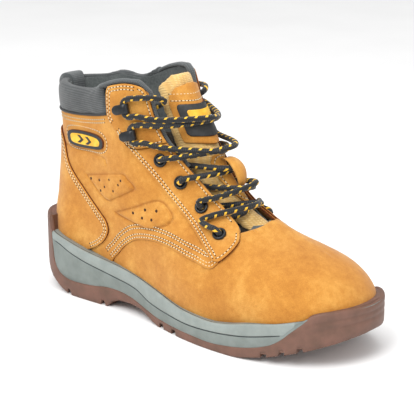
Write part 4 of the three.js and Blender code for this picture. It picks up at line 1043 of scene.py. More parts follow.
# The black yarn is coloured darker where the bump is low, between the yarns: painted shade.
black_yarn = braid.colours(yarns, (0.1, "#121314"), (0.8, "#2E3032"))
braid.colour(braid.mixed(shown, black_yarn, linear("#F0BC2C")))
lace_braid = braid.bump(yarns, 0.35, 0.8).material

# %% [markdown]
# ## Lofts and pads
# A pad starts as a closed loft through rings of points. It is then remeshed evenly and blown
# up a little with cloth simulation, which rounds it the way stuffing does. Sculpting would
# be free but not repeatable. No point may move further than a set cap, so a pad stays close
# to its loft.

# %% Loft
def loft(rings, closed=False):
    """Points and faces of a surface through equal rings, capped or closed into a loop."""
    count = len(rings[0])
    points = np.vstack(rings)
    faces = []
    last = len(rings) if closed else len(rings) - 1
    for r in range(last):
        for k in range(count):
            a, b = r * count + k, r * count + (k + 1) % count
            c, d = (b + count) % len(points), (a + count) % len(points)
            faces.append((a, b, c, d))
    if not closed:
        faces.append(tuple(range(count))[::-1])
        faces.append(tuple(range(len(points) - count, len(points))))
    return points, faces


def facing_out(piece):
    """Turns all faces outwards."""
    mesh = bmesh.new()
    mesh.from_mesh(piece.data)
    bmesh.ops.recalc_face_normals(mesh, faces=mesh.faces)
    mesh.to_mesh(piece.data)
    mesh.free()


def baked(piece):
    """Replaces a piece's mesh by what its modifiers make of it."""
    finished = bpy.data.meshes.new_from_object(piece.evaluated_get(bpy.context.evaluated_depsgraph_get()))
    piece.modifiers.clear()
    piece.data = finished


def mesh_points(mesh):
    points = np.empty(len(mesh.vertices) * 3)
    mesh.vertices.foreach_get("co", points)
    return points.reshape(-1, 3)


CLOTH_FRAMES = 20


def puffed(piece, voxel, pressure, cap):
    """Remeshes the piece and lets cloth under pressure fill it, no point by more than cap."""
    facing_out(piece)
    remesh = piece.modifiers.new("even", "REMESH")
    remesh.mode = "VOXEL"
    remesh.voxel_size = voxel * MM
    baked(piece)
    smooth = piece.modifiers.new("soften", "SMOOTH")
    smooth.iterations = 2
    baked(piece)
    start = mesh_points(piece.data)
    cloth = piece.modifiers.new("stuffing", "CLOTH")
    cloth.settings.use_pressure = True
    cloth.settings.uniform_pressure_force = pressure
    cloth.settings.effector_weights.gravity = 0
    cloth.collision_settings.use_collision = False
    for step in range(1, CLOTH_FRAMES + 1):
        bpy.context.scene.frame_set(step)
    swollen = piece.evaluated_get(bpy.context.evaluated_depsgraph_get()).to_mesh()
    move = mesh_points(swollen) - start
    size = np.linalg.norm(move, axis=1, keepdims=True)
    move = move * np.minimum(1, cap * MM / np.maximum(size, 1e-9))
    piece.modifiers.clear()
    bpy.context.scene.frame_set(1)
    piece.data.vertices.foreach_set("co", (start + move).ravel())
    piece.data.update()
    furthest = np.linalg.norm(move, axis=1).max() / MM
    print(f"{piece.name}: {len(start)} points, puffed by up to {furthest:.1f} mm")
    return start + move


def rounded_off(piece):
    rounder = piece.modifiers.new("rounder", "SUBSURF")
    rounder.levels = rounder.render_levels = 1


def finished_pad(piece, materials, along, across):
    """Gives the pad its map, its finish and one subdivision."""
    put_map(piece, along, across)
    piece.data.materials.clear()
    for material in materials:
        piece.data.materials.append(material)
    piece.data.polygons.foreach_set("use_smooth", [True] * len(piece.data.polygons))
    rounded_off(piece)
    baked(piece)


# %% [markdown]
# ## Lining and collar
# Inside the quarters a lining follows the skin a little way in, further where the collar
# is padded and over the toecap. The collar is one long cushion from the hook panels round
# the heel, and a thin roll of a similar knit carries on over the top of the hook panels and
# down the throat's edges.

# %% Lining
def lining_depth(places):
    x, _, _ = walk(places[..., 0], places[..., 1])
    z = places[..., 1]
    counter = 1.8 * (1 - ramp(x, 52, 66)) * (1 - ramp(z, 98, 108))
    pad = 5.5 * ramp(z, 134, 150) * (1 - ramp(x, 30, 46))
    vamp = 0.8 * ramp(x, 40, 60) * (1 - ramp(z, 66, 76) * (1 - ramp(x, 150, 168)))
    cap = 2.1 * ramp(x, 140, 160)
    return 2.3 + counter + pad + vamp + cap


def on_lining(places, height):
    return over(places, height - lining_depth(places))


LINING_FLOOR = 24
LINING_SHEET = {
    "finish": lining_cloth, "rim_finish": lining_cloth, "surface": on_lining, "slot": "lining",
}


def lining_floor(x):
    return np.stack([x, LINING_FLOOR + 0 * x], axis=-1)


def shaft_lining_outline():
    halves = []
    for side in (-1, 1):
        throat = THROAT[(THROAT[:, 0] < 150) & (THROAT[:, 1] < collar_top(THROAT[:, 0], side) - 4)][::-1]
        top_x = np.array([76.0, 66, 56, 46, 34, 20, 5, -10, -34])
        tops = np.stack([top_x, collar_top(top_x, side) - 3.6], axis=-1)
        halves.append(at_side(np.vstack([[[150, LINING_FLOOR]], throat, tops]), side, True))
    floor_line = lining_floor(np.linspace(-34, 148, 30))
    return np.vstack([
        halves[0], halves[1][::-1], at_side(floor_line[::-1], 1, True), at_side(floor_line, -1, True)])


panel("lining", shaft_lining_outline(), 0, -1.5, step=5, stands_for=("shaft_lining",), **LINING_SHEET)
front = np.array([[150.4, LINING_FLOOR], [150.4, 92.5], [163, 86], [168.5, 81], [170, 88], [176, 88.7]])
front_floor = lining_floor(np.linspace(256, 151, 24))
panel("vamp_lining_cloth",
      np.vstack([at_side(front, -1), at_side(front, 1)[::-1], at_side(front_floor[::-1], 1),
                 at_side(front_floor, -1)]),
      0, -1.5, step=6, stands_for=("vamp_lining",), **LINING_SHEET)

# %% Collar cushion
COLLAR_PROFILE = np.array([
    # how far through the pad, how far up it
    [0.10, 0.00], [0.02, 0.06], [0.00, 0.22], [0.00, 0.45], [0.02, 0.68], [0.12, 0.88], [0.35, 0.985],
    [0.62, 1.00], [0.92, 0.985], [1.13, 0.93], [1.16, 0.87], [1.02, 0.80], [0.98, 0.60], [0.98, 0.30],
    [0.92, 0.03], [0.50, -0.02],
])
COLLAR_STEPS = 110
COLLAR_OUT = 0.9


def collar_rings():
    rings = []
    lateral = at_side([[COLLAR_FRONT_X - 0.6, 165]], -1)[0, 0]
    medial = at_side([[COLLAR_FRONT_X - 0.6, 168]], 1, True)[0, 0]
    for s in np.linspace(0, 1, COLLAR_STEPS):
        a = lateral + (medial - lateral) * s
        x, _, side = walk(np.array(a), np.array(165.0))
        low, high = float(COLLAR_FOOT(x)), float(collar_top(x, side))
        z = low + (high - low) * COLLAR_PROFILE[:, 1]
        places = np.stack([np.full(len(z), a), z], axis=-1)
        depth = lining_depth(places) - 0.3 + COLLAR_OUT
        rings.append(over(places, COLLAR_OUT - depth * COLLAR_PROFILE[:, 0]))
    return rings


def round_the_ankle(points):
    """Millimetres round the ankle for points of the shaft, from the heel's middle."""
    x, y = points[:, 0] + TREAD_CENTRE_X, points[:, 1]
    return np.arctan2(y, x - 25) * 45


points, faces = loft(collar_rings())
collar_pad = make_piece("collar_cushion", points, faces, [collar_knit], slot="collar_knit",
                        stands_for=("collar", "collar_foam"))
settled = puffed(collar_pad, voxel=2.6, pressure=4, cap=0.7) / MM
finished_pad(collar_pad, [collar_knit], round_the_ankle(settled), settled[:, 2])

# %% Rolls along the top and the throat
def swept(name, places, centre, half_depth, half_width, finish, sides=10, **others):
    """A rounded strip along a line of places, centre millimetres over the skin."""
    up = normals_at(places)
    left = np.cross(up, along_line(places))
    middle = over(places, centre)
    turns = np.linspace(0, 2 * np.pi, sides, endpoint=False)
    half_depth = np.broadcast_to(half_depth, len(places))
    half_width = np.broadcast_to(half_width, len(places))
    rings = [
        middle[i] + np.cos(turns)[:, None] * up[i] * half_depth[i]
        + np.sin(turns)[:, None] * left[i] * half_width[i]
        for i in range(len(places))
    ]
    points, faces = loft(rings)
    piece = make_piece(name, points, faces, [finish], **others)
    facing_out(piece)
    lengths = run_lengths(middle)
    put_map(piece, np.repeat(lengths, sides), np.tile(turns * 2, len(places)))
    return piece


for name, side in SIDES.items():
    x = np.linspace(COLLAR_FRONT_X - 9, 74, 14)
    top = np.stack([x, collar_top(x, side) - 1.9], axis=-1)
    edge_line = THROAT[(THROAT[:, 1] > 121) & (THROAT[:, 1] < collar_top(THROAT[:, 0], side) - 4)]
    line = even(at_side(spline(np.vstack([top, edge_line + np.array([0.9, 0])]), 2), side), 2.0)
    share = np.linspace(0, 1, len(line))
    swept(f"throat_roll_{name}", line, -1.9 - 0.3 * share, 3.0 - 0.8 * ramp(share, 0.3, 0.6),
          1.9 - 0.5 * ramp(share, 0.3, 0.6), roll_knit, slot="collar_knit",
          stands_for=(f"facing_binding_{name}",))

# %% [markdown]
# The collar is sewn to the quarters and turned up, which leaves a sunk line along its foot,
# dark with shade. A narrow black tube along the seam paints that shade.

# %% Collar seam
seam_x = np.concatenate([np.linspace(COLLAR_FRONT_X - 0.5, -24, 40), np.linspace(-25.5, -31, 8)])
half_seam = np.stack([seam_x, COLLAR_FOOT(seam_x) + 1.1], axis=-1)
seam_round = np.vstack([at_side(half_seam, -1, True), at_side(half_seam, 1, True)[::-1]])
swept("collar_seam_shade", even(seam_round, 2.0), 0.6, 0.8, 1.1, black_rubber, sides=8, slot="collar_knit")

# %% [markdown]
# A folded tape at the heel helps to pull the boot on. It straddles the collar, so its
# section is one long loop, from outside over the top to the inside and back.

# %% Heel pull tab
TAB_TOP = float(COLLAR_TOP[-1](np.array(-40.0)))
TAB_PATH = spline([
    [2.2, TAB_TOP - 16], [2.6, TAB_TOP - 8], [2.4, TAB_TOP - 2.5], [-0.5, TAB_TOP + 1.2],
    [-4.2, TAB_TOP + 1.7], [-8, TAB_TOP + 0.8],
    [-10.4, TAB_TOP - 2.5], [-10.6, TAB_TOP - 8], [-10.4, TAB_TOP - 16],
], 4)
TAB_MIDDLE = -4.0
TAB_SWEEP = 0.079


def tab_section():
    way = unit(np.gradient(TAB_PATH, axis=0))
    side = np.stack([-way[:, 1], way[:, 0]], axis=-1)
    return np.vstack([TAB_PATH + side * 1.0, (TAB_PATH - side * 1.0)[::-1]])


section = tab_section()
rings, sweep = [], np.linspace(-1, 1, 13)
for s in sweep:
    squeeze = 1 - 0.25 * abs(s) ** 6
    places = np.stack([np.full(len(section), s * TAB_SWEEP), section[:, 1]], axis=-1)
    rings.append(over(places, TAB_MIDDLE + (section[:, 0] - TAB_MIDDLE) * squeeze))
points, faces = loft(rings)
tab = make_piece("pull_tab", points, faces, [roll_knit], slot="collar_knit", stands_for=("heel_pull_tab",))
facing_out(tab)
put_map(tab, np.tile(np.arange(len(section)) * 1.1, len(sweep)), np.repeat(sweep * 11, len(section)))
rounded_off(tab)
print("pull tab width, mm:", round(float(np.ptp(points[:, 1])), 1))

# %% [markdown]
# ## Tongue
# The tongue is a long pad behind the laces. Its lower part is sewn in, and its upper part
# tilts back into the shaft. The pad rides on no body; the leather and label on it ride on the tongue's body.

# %% Places on the front
def front_places(y, z):
    """Places at these distances from the middle of the instep."""
    y, z = np.broadcast_arrays(np.array(y, float), np.array(z, float))
    side = np.where(y < 0, -1.0, 1.0)
    low, high = (back_x(z) + front_x(z)) / 2, front_x(z)
    for _ in range(34):
        middle = (low + high) / 2
        wide = half_breadth(middle, z, side) > np.abs(y)
        low, high = np.where(wide, middle, low), np.where(wide, high, middle)
    share = np.clip((low - back_x(z)) / (front_x(z) - back_x(z)), 0, 1)
    along = np.arccos(1 - 2 * share) / np.pi
    return np.stack([np.where(side < 0, along, 2 - along), z], axis=-1)


def tongue_depth(places):
    x, y, _ = walk(places[..., 0], places[..., 1])
    z = places[..., 1]
    middle = 7.4 - 3.4 * ramp(z, 124, 136)
    return middle + (9.6 - middle) * ramp(np.abs(y - centre_y(x)), 11, 24)


def on_tongue(places, height):
    return over(places, height - tongue_depth(places))


# %% Tongue pad
TONGUE_HALF = pchip([84, 96, 112, 137, 168, 178, 184, 188, 190], [19, 21, 23, 26, 26.5, 24.5, 20.5, 14, 7])
TONGUE_THICK = pchip([84, 92, 110, 180, 187, 190], [3.2, 5, 6, 5.8, 5, 3.4])
tongue_z = np.concatenate([np.linspace(84, 178, 44), np.linspace(179.5, 190, 9)])
turns = np.linspace(0, 2 * np.pi, 40, endpoint=False)
rings = []
for z in tongue_z:
    half, thick = float(TONGUE_HALF(z)), float(TONGUE_THICK(z))
    y = half * np.sign(np.cos(turns)) * np.abs(np.cos(turns)) ** 0.75
    through = (1 - np.sign(np.sin(turns)) * np.abs(np.sin(turns)) ** 0.6) / 2
    places = front_places(y, np.full(len(y), z))
    rings.append(over(places, -tongue_depth(places) - 0.3 - thick * through))
points, faces = loft(rings)
tongue_pad = make_piece("tongue_pad", points, faces, [tongue_knit], body=None, slot="tongue_fabric",
                        stands_for=("tongue_flap", "tongue_base"))
settled = puffed(tongue_pad, voxel=3.2, pressure=4, cap=0.8) / MM
finished_pad(tongue_pad, [tongue_knit], settled[:, 1], settled[:, 2])
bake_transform(tongue_pad)

# %% Leather and label on the tongue
def front_loop(half_outline):
    line = np.array(half_outline, float)
    full = np.vstack([line, line[::-1] * np.array([-1, 1])])
    return front_places(full[:, 0], full[:, 1])


def tongue_relief(places, ground):
    return 0.35 * np.sin(ground[:, 2] / 4.5) * ramp(ground[:, 2], 166, 172)


PANEL_TOP = 1.5
tongue_edge = [[6, 138.8], [20, 138.8], [20.5, 142], [20.5, 167], [19, 172.5], [14, 178], [4, 181]]
panel("tongue_leather", front_loop(tongue_edge), PANEL_TOP, 0.2, step=3, surface=on_tongue,
      relief=tongue_relief, body="tongue", stands_for=("tongue_panel",))
rows = [front_places(np.linspace(-18.8, 18.8, 24), np.full(24, z)) for z in (168.6, 173.4)]
stitching("tongue_panel", rows, PANEL_TOP, body="tongue", surface=on_tongue)
label_edge = [[6, 143.5], [15.5, 143.5], [17, 145.2], [17, 164.3], [15.5, 166], [6, 166]]
panel("tongue_badge", front_loop(label_edge), PANEL_TOP + 1.5, PANEL_TOP, finish=black_rubber, step=3,
      surface=on_tongue, slot="black_rubber", body="tongue", stands_for=("tongue_label",))
mark_edge = [[4, 156], [11.5, 156], [12.5, 157.2], [12.5, 160.6], [11.5, 161.8], [4, 161.8]]
panel("tongue_badge_mark", front_loop(mark_edge), PANEL_TOP + 2.1, PANEL_TOP + 1.4,
      finish=yellow_ink, step=2.5, surface=on_tongue, slot="yellow_mark", body="tongue",
      stands_for=("tongue_label_mark",), spacing=0.9)

# %% [markdown]
# Between the tongue and the lining, thin gussets of dark mesh keep grit out. Each is a
# folded sheet from the tongue's edge to the inside of the throat.

# %% Gussets
for name, side in SIDES.items():
    rings = []
    for z in np.linspace(86, 146, 26):
        tongue_edge_y = side * (float(TONGUE_HALF(z)) - 2.5)
        throat_x = float(np.interp(z, THROAT[::-1, 1], THROAT[::-1, 0]))
        start = over(front_places([tongue_edge_y], [z]), -12.5)[0]
        end = over(at_side([[throat_x - 9, z]], side), -7.0)[0]
        share = np.linspace(0, 1, 9)[:, None]
        sag = np.sin(np.pi * share) * np.array([-1.6, 0, -0.8])
        sheet_line = start + (end - start) * share + sag
        rings.append(np.vstack([sheet_line, sheet_line[::-1] + np.array([-0.8, 0, 0])]))
    points, faces = loft(rings)
    gusset = make_piece(f"gusset_{name}", points, faces, [gusset_cloth], slot="lining")
    facing_out(gusset)

# %% [markdown]
# The lace keeper is a leaf of leather on the tongue with a raised strap, under which the
# laces pass. It stays with the boot, because it is sewn below the fold.

# %% Lace keeper
keeper_edge = [[2, 101.5], [5, 102], [9.5, 106], [12.5, 116], [12.5, 126], [9, 131], [3, 133]]
panel("keeper_leaf", front_loop(keeper_edge), PANEL_TOP, 0.2, finish=leather_light, step=3,
      surface=on_tongue, stands_for=("lace_keeper",))
leaf = front_loop([[2, 103.5], [4.5, 104], [8, 107], [10.6, 116.5], [10.6, 125.5], [7.8, 129.5], [3, 131]])
stitching("keeper", [np.vstack([leaf, leaf[:1]])], PANEL_TOP, surface=on_tongue)
strap_z = np.linspace(109, 129, 30)
strap_share = np.linspace(0, 1, 30)
strap_height = 11.6 * np.clip(np.sin(np.pi * strap_share), 0, 1) ** 0.4 - 5.6
rings = []
for z, height in zip(strap_z, strap_height):
    low_side = height - 1.3
    loop_y = np.array([-4.6, -3.2, 0, 3.2, 4.6, 3.2, 0, -3.2])
    loop_h = np.array([height - 0.6, height, height, height, height - 0.6, low_side, low_side, low_side])
    rings.append(over(front_places(loop_y, np.full(8, z)), loop_h))
points, faces = loft(rings)
strap = make_piece("keeper_strap", points, faces, [leather_light], slot="nubuck")
facing_out(strap)

# %% [markdown]
# ## Badge
# The badge on the quarter is a moulded rubber frame round a coloured plate. It carries
# two plain arrowheads in place of any name.

# %% Side badge
BADGE = spline([[-6, 128], [-4, 132.5], [6, 134.6], [20, 135.2], [33, 134.6], [39, 131.5], [39, 127],
                [35, 123.8], [20, 122], [4, 121.4], [-4, 123.2], [-6, 128]], 4)
PLATE = spline([[-1, 128], [0, 131], [8, 132.4], [20, 132.8], [31, 132.4], [35.4, 130.4], [35.4, 127.6],
                [32.5, 125.8], [20, 124.4], [6, 123.9], [0.5, 125], [-1, 128]], 4)
panel("badge_frame", at_side(BADGE, -1), 1.9, 0, finish=black_rubber, step=3, slot="black_rubber",
      stands_for=("side_badge",), spacing=1.1)
panel("badge_plate", at_side(PLATE, -1), 2.3, 1.8, finish=yellow_ink, step=3, slot="yellow_mark",
      stands_for=("side_badge_mark",), spacing=1.1)
for number, x in enumerate((8, 18)):
    arrow = [[x, 125.3], [x + 3.6, 125.3], [x + 8, 128.4], [x + 3.6, 131.5], [x, 131.5], [x + 4.4, 128.4]]
    panel(f"badge_arrow_{number + 1}", at_side(arrow, -1), 2.7, 2.2, finish=black_rubber, step=2,
          rounding=0.2, slot="black_rubber", spacing=0.9)
box_line = spline([[-9, 128], [-7.5, 135], [5, 137.8], [20, 138.4], [36, 137.4], [42.5, 132.5], [42.5, 125.5],
                   [36, 121], [20, 119.9], [4, 119.2], [-6, 121], [-9, 128]], 4)
stitching("badge", [at_side(box_line, -1)], QUARTER_TOP)

# %% [markdown]
# ## Hooks and eyelets
# An eyelet is turned: one profile spun about its axis, with a rolled rim outside and a
# clinched flange inside. A hook is bent from strip and riveted through the panel, so it is
# an extruded outline with its corners rounded.

# %% Hardware frames
EDGE_UP = np.array([-0.25, 0, 0.97])


def hardware_frame(x, z, side):
    """Origin and directions (towards the throat, up its edge, out of the leather)."""
    place = at_side([[x, z]], side)
    outward = normals_at(place)[0]
    upward = unit(EDGE_UP - EDGE_UP @ outward * outward)
    forward = np.cross(upward, outward)
    if forward[0] < 0:
        forward, upward = -forward, -upward
    return skin(place[:, 0], place[:, 1])[0], np.stack([forward, upward, outward])


def set_in(frame_here, local):
    origin, axes = frame_here
    return origin + np.asarray(local, float) @ axes


# %% Eyelets
EYELET_BORE = 2.9
RIM_HALF_WIDTH, RIM_FOOT, RIM_HEIGHT = 1.15, 2.15, 1.25
RIM_ARC = [
    [EYELET_BORE + RIM_HALF_WIDTH - RIM_HALF_WIDTH * math.cos(t), RIM_FOOT + RIM_HEIGHT * math.sin(t)]
    for t in np.linspace(0, math.pi * 0.98, 9)
]
EYELET = [
    [EYELET_BORE, -5.0], [EYELET_BORE, 1.6], *RIM_ARC,
    [5.0, 1.95], [3.6, 1.9], [3.6, -4.4], [4.6, -4.4], [4.6, -5.0],
]
EYELET_TURNS = np.linspace(0, 2 * np.pi, 36, endpoint=False)
for name, side in SIDES.items():
    for number, (x, z) in enumerate(EYELETS, 1):
        here = hardware_frame(x, z, side)
        rings = [
            set_in(here, np.stack([r * np.cos(EYELET_TURNS), r * np.sin(EYELET_TURNS),
                                   np.full(len(EYELET_TURNS), n)], axis=-1))
            for r, n in EYELET
        ]
        points, faces = loft(rings, closed=True)
        eyelet = make_piece(f"eyelet_ring_{name}_{number}", points, faces, [black_metal],
                            slot="black_hardware", stands_for=(f"eyelet_{name}_{number}",))
        facing_out(eyelet)

# %% Lace hooks
HOOK_WIDTH = 7.4


def arc(radius, middle, start, end, count=9):
    turn = np.linspace(start, end, count)
    return [[radius * math.cos(t), middle + radius * math.sin(t)] for t in turn]


HOOK_OUTLINE = [
    [-8.5, 2.1], *arc(3.6, 5.7, -math.pi / 2, math.pi / 2), [-7.2, 9.3], [-8.5, 8.2],
    *arc(2.5, 5.6, math.pi / 2, -math.pi / 2), [-8.5, 3.1],
]
HOOK_WIDTHS = np.sin(np.linspace(-math.pi / 2, math.pi / 2, 13))
for name, side in SIDES.items():
    for number, (x, z) in enumerate(HOOKS, 1):
        here = hardware_frame(x, z, side)
        outline = np.array(HOOK_OUTLINE)
        rings = []
        for across in HOOK_WIDTHS:
            shape = outline.copy()
            shorter = 3.4 * (1 - math.sqrt(1 - across**2)) - 1.2
            shape[:, 0] = np.where(outline[:, 0] < -6, outline[:, 0] + shorter, outline[:, 0])
            shape[:, 1] = np.where(outline[:, 1] > 8, outline[:, 1] - 0.9 * abs(across) ** 3, outline[:, 1])
            sideways = np.full(len(shape), across * HOOK_WIDTH / 2)
            local = np.stack([shape[:, 0], sideways, shape[:, 1]], axis=-1)
            rings.append(set_in(here, local))
        points, faces = loft(rings)
        hook = make_piece(f"hook_bent_{name}_{number}", points, faces, [black_metal], slot="black_hardware",
                          stands_for=(f"hook_{name}_{number}",))
        facing_out(hook)
        softer = hook.modifiers.new("worn_corners", "BEVEL")
        softer.width = 0.5 * MM
        softer.segments = 2
        softer.limit_method = "ANGLE"
        softer.angle_limit = math.radians(50)

# %% [markdown]
# ## Lace
# The lace is one threaded line: up through each eyelet, across the tongue and under the
# other side, then round the hooks. It is held all along, so its line repeats the frame's
# route and is not left to hang. A tube of even rings along a smooth curve carries the map
# for the braid.

# %% Paths over the instep
def instep_point(y, z, height):
    places = front_places(np.atleast_1d(y), np.atleast_1d(z))
    return over(places, np.atleast_1d(height))


class Track:
    """A path from one side of the throat to the other, asked for points by distance."""

    def __init__(self, start, end, rise):
        share = np.linspace(0, 1, 41)
        start_half = half_breadth(np.array(start[0], float), np.array(start[1], float), start[2])
        end_half = half_breadth(np.array(end[0], float), np.array(end[1], float), end[2])
        reach = np.where(share < 0.5, start_half, end_half)
        self.y = start[2] * reach * np.cos(np.pi * share)
        self.z = start[1] + (end[1] - start[1]) * share + rise * np.sin(np.pi * share)
        points = instep_point(self.y, self.z, np.zeros(41))
        self.lengths = run_lengths(points)
        self.total = self.lengths[-1]

    def at(self, distance, height):
        y = np.interp(distance, self.lengths, self.y)
        z = np.interp(distance, self.lengths, self.z)
        return instep_point(y, z, height)[0]


# %% The route
EDGE_REACH = 17.5
OUT_OF_EYELET = [[0, 2.6], [0.7, 5.2], [3.6, 6.6], [9.5, 5.9]]
INTO_EYELET = [[9, -7.9], [3.2, -7.7], [0.35, -5.7], [0, -2.2]]
CROSSING = {
    "third": (-4.3, 0.6, 11), "second": (1.9, 6.8, 4), "first": (-2.4, 2.4, 2),
    "lower hook": (1.9, 6.8, 1), "upper hook": (4.0, 8.9, 1),
}
HOOK_LOOP = [[8, -6.7], [3.4, -6.8], [-0.3, -4.6], [-0.9, 0], [-0.3, 4.6], [3.4, 6.8], [8, 6.7]]
TAIL = [[85.5, 170, 5.4], [92.3, 168.5, 1], [89.5, 165.5, -6], [82, 161, -7.3], [77, 154, -7.3]]


def leaving(path):
    return [path.at(d, h) for d, h in [*OUT_OF_EYELET, [EDGE_REACH, 4.9]]]


def arriving(path):
    return [path.at(path.total - d, h) for d, h in [[EDGE_REACH + 1.5, -6.6], *INTO_EYELET]]


def eyelet_place(row, side):
    return (*EYELETS[row], side)


def by_hook(row, side, up):
    return (HOOKS[row][0] + 10, HOOKS[row][1] + up * 6.2, side)


def round_hook(row, side):
    here = hardware_frame(*HOOKS[row], side)
    rising = math.copysign(1, here[1][1][2])
    return [set_in(here, [u, v * rising, 5.6]) for u, v in HOOK_LOOP]


def strand(side, level):
    first = Track(eyelet_place(3, side), eyelet_place(2, -side), CROSSING["third"][2])
    points = [first.at(d, h) for d, h in reversed(INTO_EYELET)]
    points += [first.at(EDGE_REACH, -6.6), first.at(first.total / 2, CROSSING["third"][level])]
    points += arriving(first)
    for row, start, name in ((2, -side, "second"), (1, side, "first")):
        path = Track(eyelet_place(row, start), eyelet_place(row - 1, -start), CROSSING[name][2])
        points += leaving(path) + [path.at(path.total / 2, CROSSING[name][level])] + arriving(path)
    path = Track(eyelet_place(0, -side), by_hook(1, side, -1), CROSSING["lower hook"][2])
    points += leaving(path) + [path.at(path.total / 2, CROSSING["lower hook"][level])]
    points += [path.at(path.total - 14, 5.1), *round_hook(1, side)]
    path = Track(by_hook(1, side, 1), by_hook(0, -side, -1), CROSSING["upper hook"][2])
    points += [path.at(14, 5.4), path.at(path.total / 2, CROSSING["upper hook"][level])]
    points += [path.at(path.total - 14, 5.4), *round_hook(0, -side)]
    return points


def tail(side):
    return [over(at_side([[x, z]], side), h)[0] for x, z, h in TAIL]


bar = Track(eyelet_place(3, -1), eyelet_place(3, 1), 16)
bar_ends = [*OUT_OF_EYELET, [EDGE_REACH, 5.6]]
route = np.array([
    *reversed(strand(-1, 0) + tail(1)),
    *[bar.at(d, h) for d, h in bar_ends], bar.at(bar.total / 2, 5.8),
    *[bar.at(bar.total - d, h) for d, h in reversed(bar_ends)],
    *strand(1, 1), *tail(-1),
])


# %% Smooth curve through the route
def threaded(points, spacing):
    """A curve through the points that doesn't loop where they are unevenly spaced."""
    ends = np.vstack([2 * points[0] - points[1], points, 2 * points[-1] - points[-2]])
    out = []
    for p0, p1, p2, p3 in zip(ends, ends[1:], ends[2:], ends[3:]):
        pairs = ((p0, p1), (p1, p2), (p2, p3))
        knots = np.cumsum([0, *[max(np.linalg.norm(b - a), 1e-3) ** 0.5 for a, b in pairs]])
        steps = max(int(np.linalg.norm(p2 - p1) / spacing), 1)
        for t in np.linspace(knots[1], knots[2], steps, endpoint=False):
            a1 = (p0 * (knots[1] - t) + p1 * (t - knots[0])) / (knots[1] - knots[0])
            a2 = (p1 * (knots[2] - t) + p2 * (t - knots[1])) / (knots[2] - knots[1])
            a3 = (p2 * (knots[3] - t) + p3 * (t - knots[2])) / (knots[3] - knots[2])
            b1 = (a1 * (knots[2] - t) + a2 * (t - knots[0])) / (knots[2] - knots[0])
            b2 = (a2 * (knots[3] - t) + a3 * (t - knots[1])) / (knots[3] - knots[1])
            out.append((b1 * (knots[2] - t) + b2 * (t - knots[1])) / (knots[2] - knots[1]))
    return np.array([*out, points[-1]])


def tube(path, radius, sides):
    """Rings round a path that don't twist against each other, and how far along each is."""
    ways = unit(np.gradient(path, axis=0))
    across = unit(np.cross(ways[0], [0.3, 0.2, 1.0]))
    turns = np.linspace(0, 2 * np.pi, sides, endpoint=False)
    rings = []
    for point, way in zip(path, ways):
        across = unit(across - across @ way * way)
        rings.append(point + radius * (
            np.cos(turns)[:, None] * across + np.sin(turns)[:, None] * np.cross(way, across)))
    lengths = run_lengths(path)
    return rings, lengths


# %% Lace
LACE_RADIUS = 2.2
LACE_SIDES = 13
LACE_STEP = 1.3
lace_path = threaded(route, LACE_STEP)
rings, lengths = tube(lace_path, LACE_RADIUS, LACE_SIDES)
rings = [np.vstack([ring, ring[:1]]) for ring in rings]
points = np.vstack(rings)
faces = [
    (r * (LACE_SIDES + 1) + k, r * (LACE_SIDES + 1) + k + 1,
     (r + 1) * (LACE_SIDES + 1) + k + 1, (r + 1) * (LACE_SIDES + 1) + k)
    for r in range(len(rings) - 1) for k in range(LACE_SIDES)
]
lace = make_piece("lace_braided", points, faces, [lace_braid], slot="lace", stands_for=("lace",))
put_map(lace, np.repeat(lengths, LACE_SIDES + 1), np.tile(np.linspace(0, 1, LACE_SIDES + 1), len(rings)))
print("lace length, mm:", round(float(lengths[-1])))

# %% [markdown]
# ## Sole
# The midsole is foam that wraps the upper's feather line. It has a lighter top band above a
# fine groove, and it ends in a sweep where the gum rubber rises into the toe bumper. Each is
# one wall round the plan outline, its height set by the side-view curves. The frame's outsole
# stays, and the gum rubber wall is a band laid over its edge.

# %% Sole lines
SOLE_PLAN = spline([
    [-42, 0], [-39.5, -15], [-32, -28], [-18, -37.5], [0, -41], [25, -41.5], [50, -40.5], [72, -40.5],
    [92, -43.5], [115, -48.5], [140, -53.5], [165, -55.5], [190, -54.5], [212, -50], [228, -44.5],
    [243, -36], [255, -24], [262.5, -9], [265, 5], [263, 19], [256, 32], [244, 42.5], [228, 49.5],
    [208, 53.5], [185, 54.5], [163, 51.5], [140, 46], [115, 40], [92, 36.5], [70, 35.5], [45, 37.5],
    [20, 40], [0, 41], [-18, 37.5], [-31, 29], [-39, 16], [-42, 0],
], 10)[:-1]
GROUND = pchip(
    [-60, -42, -28, -15, -5, 3, 8, 46, 52, 60, 72, 84, 94, 102, 108, 185, 200, 212, 226, 239,
     254, 264, 290],
    [31, 23, 15, 8.5, 3.4, 0.6, 0, 0, 5.5, 8, 8.4, 7.5, 4, 1, 0, 0, 2.4, 5, 9, 13,
     18.5, 22.5, 34],
)
RUBBER_TOP = pchip(
    [-43, -22, -21, -18.5, -16.5, -15, -11, -3, 8, 20, 34, 46, 58, 72, 88, 106, 125, 145, 163, 180,
     198, 213, 222, 229, 236, 243, 252, 260.5, 266],
    [61.5, 60.5, 59, 50, 40, 28, 19.5, 14.5, 12.8, 13, 14.2, 16, 16, 14, 10, 6.8, 6, 6, 5.6, 7,
     9.8, 14, 19.5, 26.5, 33, 40, 42, 42.5, 42],
)
GROOVE = pchip(
    [-60, -9, 7, 23, 39, 56, 79, 97, 116, 141, 163, 192, 223],
    [46, 41, 36, 32, 29, 26, 22, 16, 14, 13, 14, 17, 23],
)


def closed_even(loop, spacing):
    line = np.vstack([loop, loop[:1]])
    lengths = run_lengths(line)
    marks = np.linspace(0, lengths[-1], int(lengths[-1] / spacing), endpoint=False)
    return np.stack([np.interp(marks, lengths, line[:, k]) for k in (0, 1)], axis=-1)


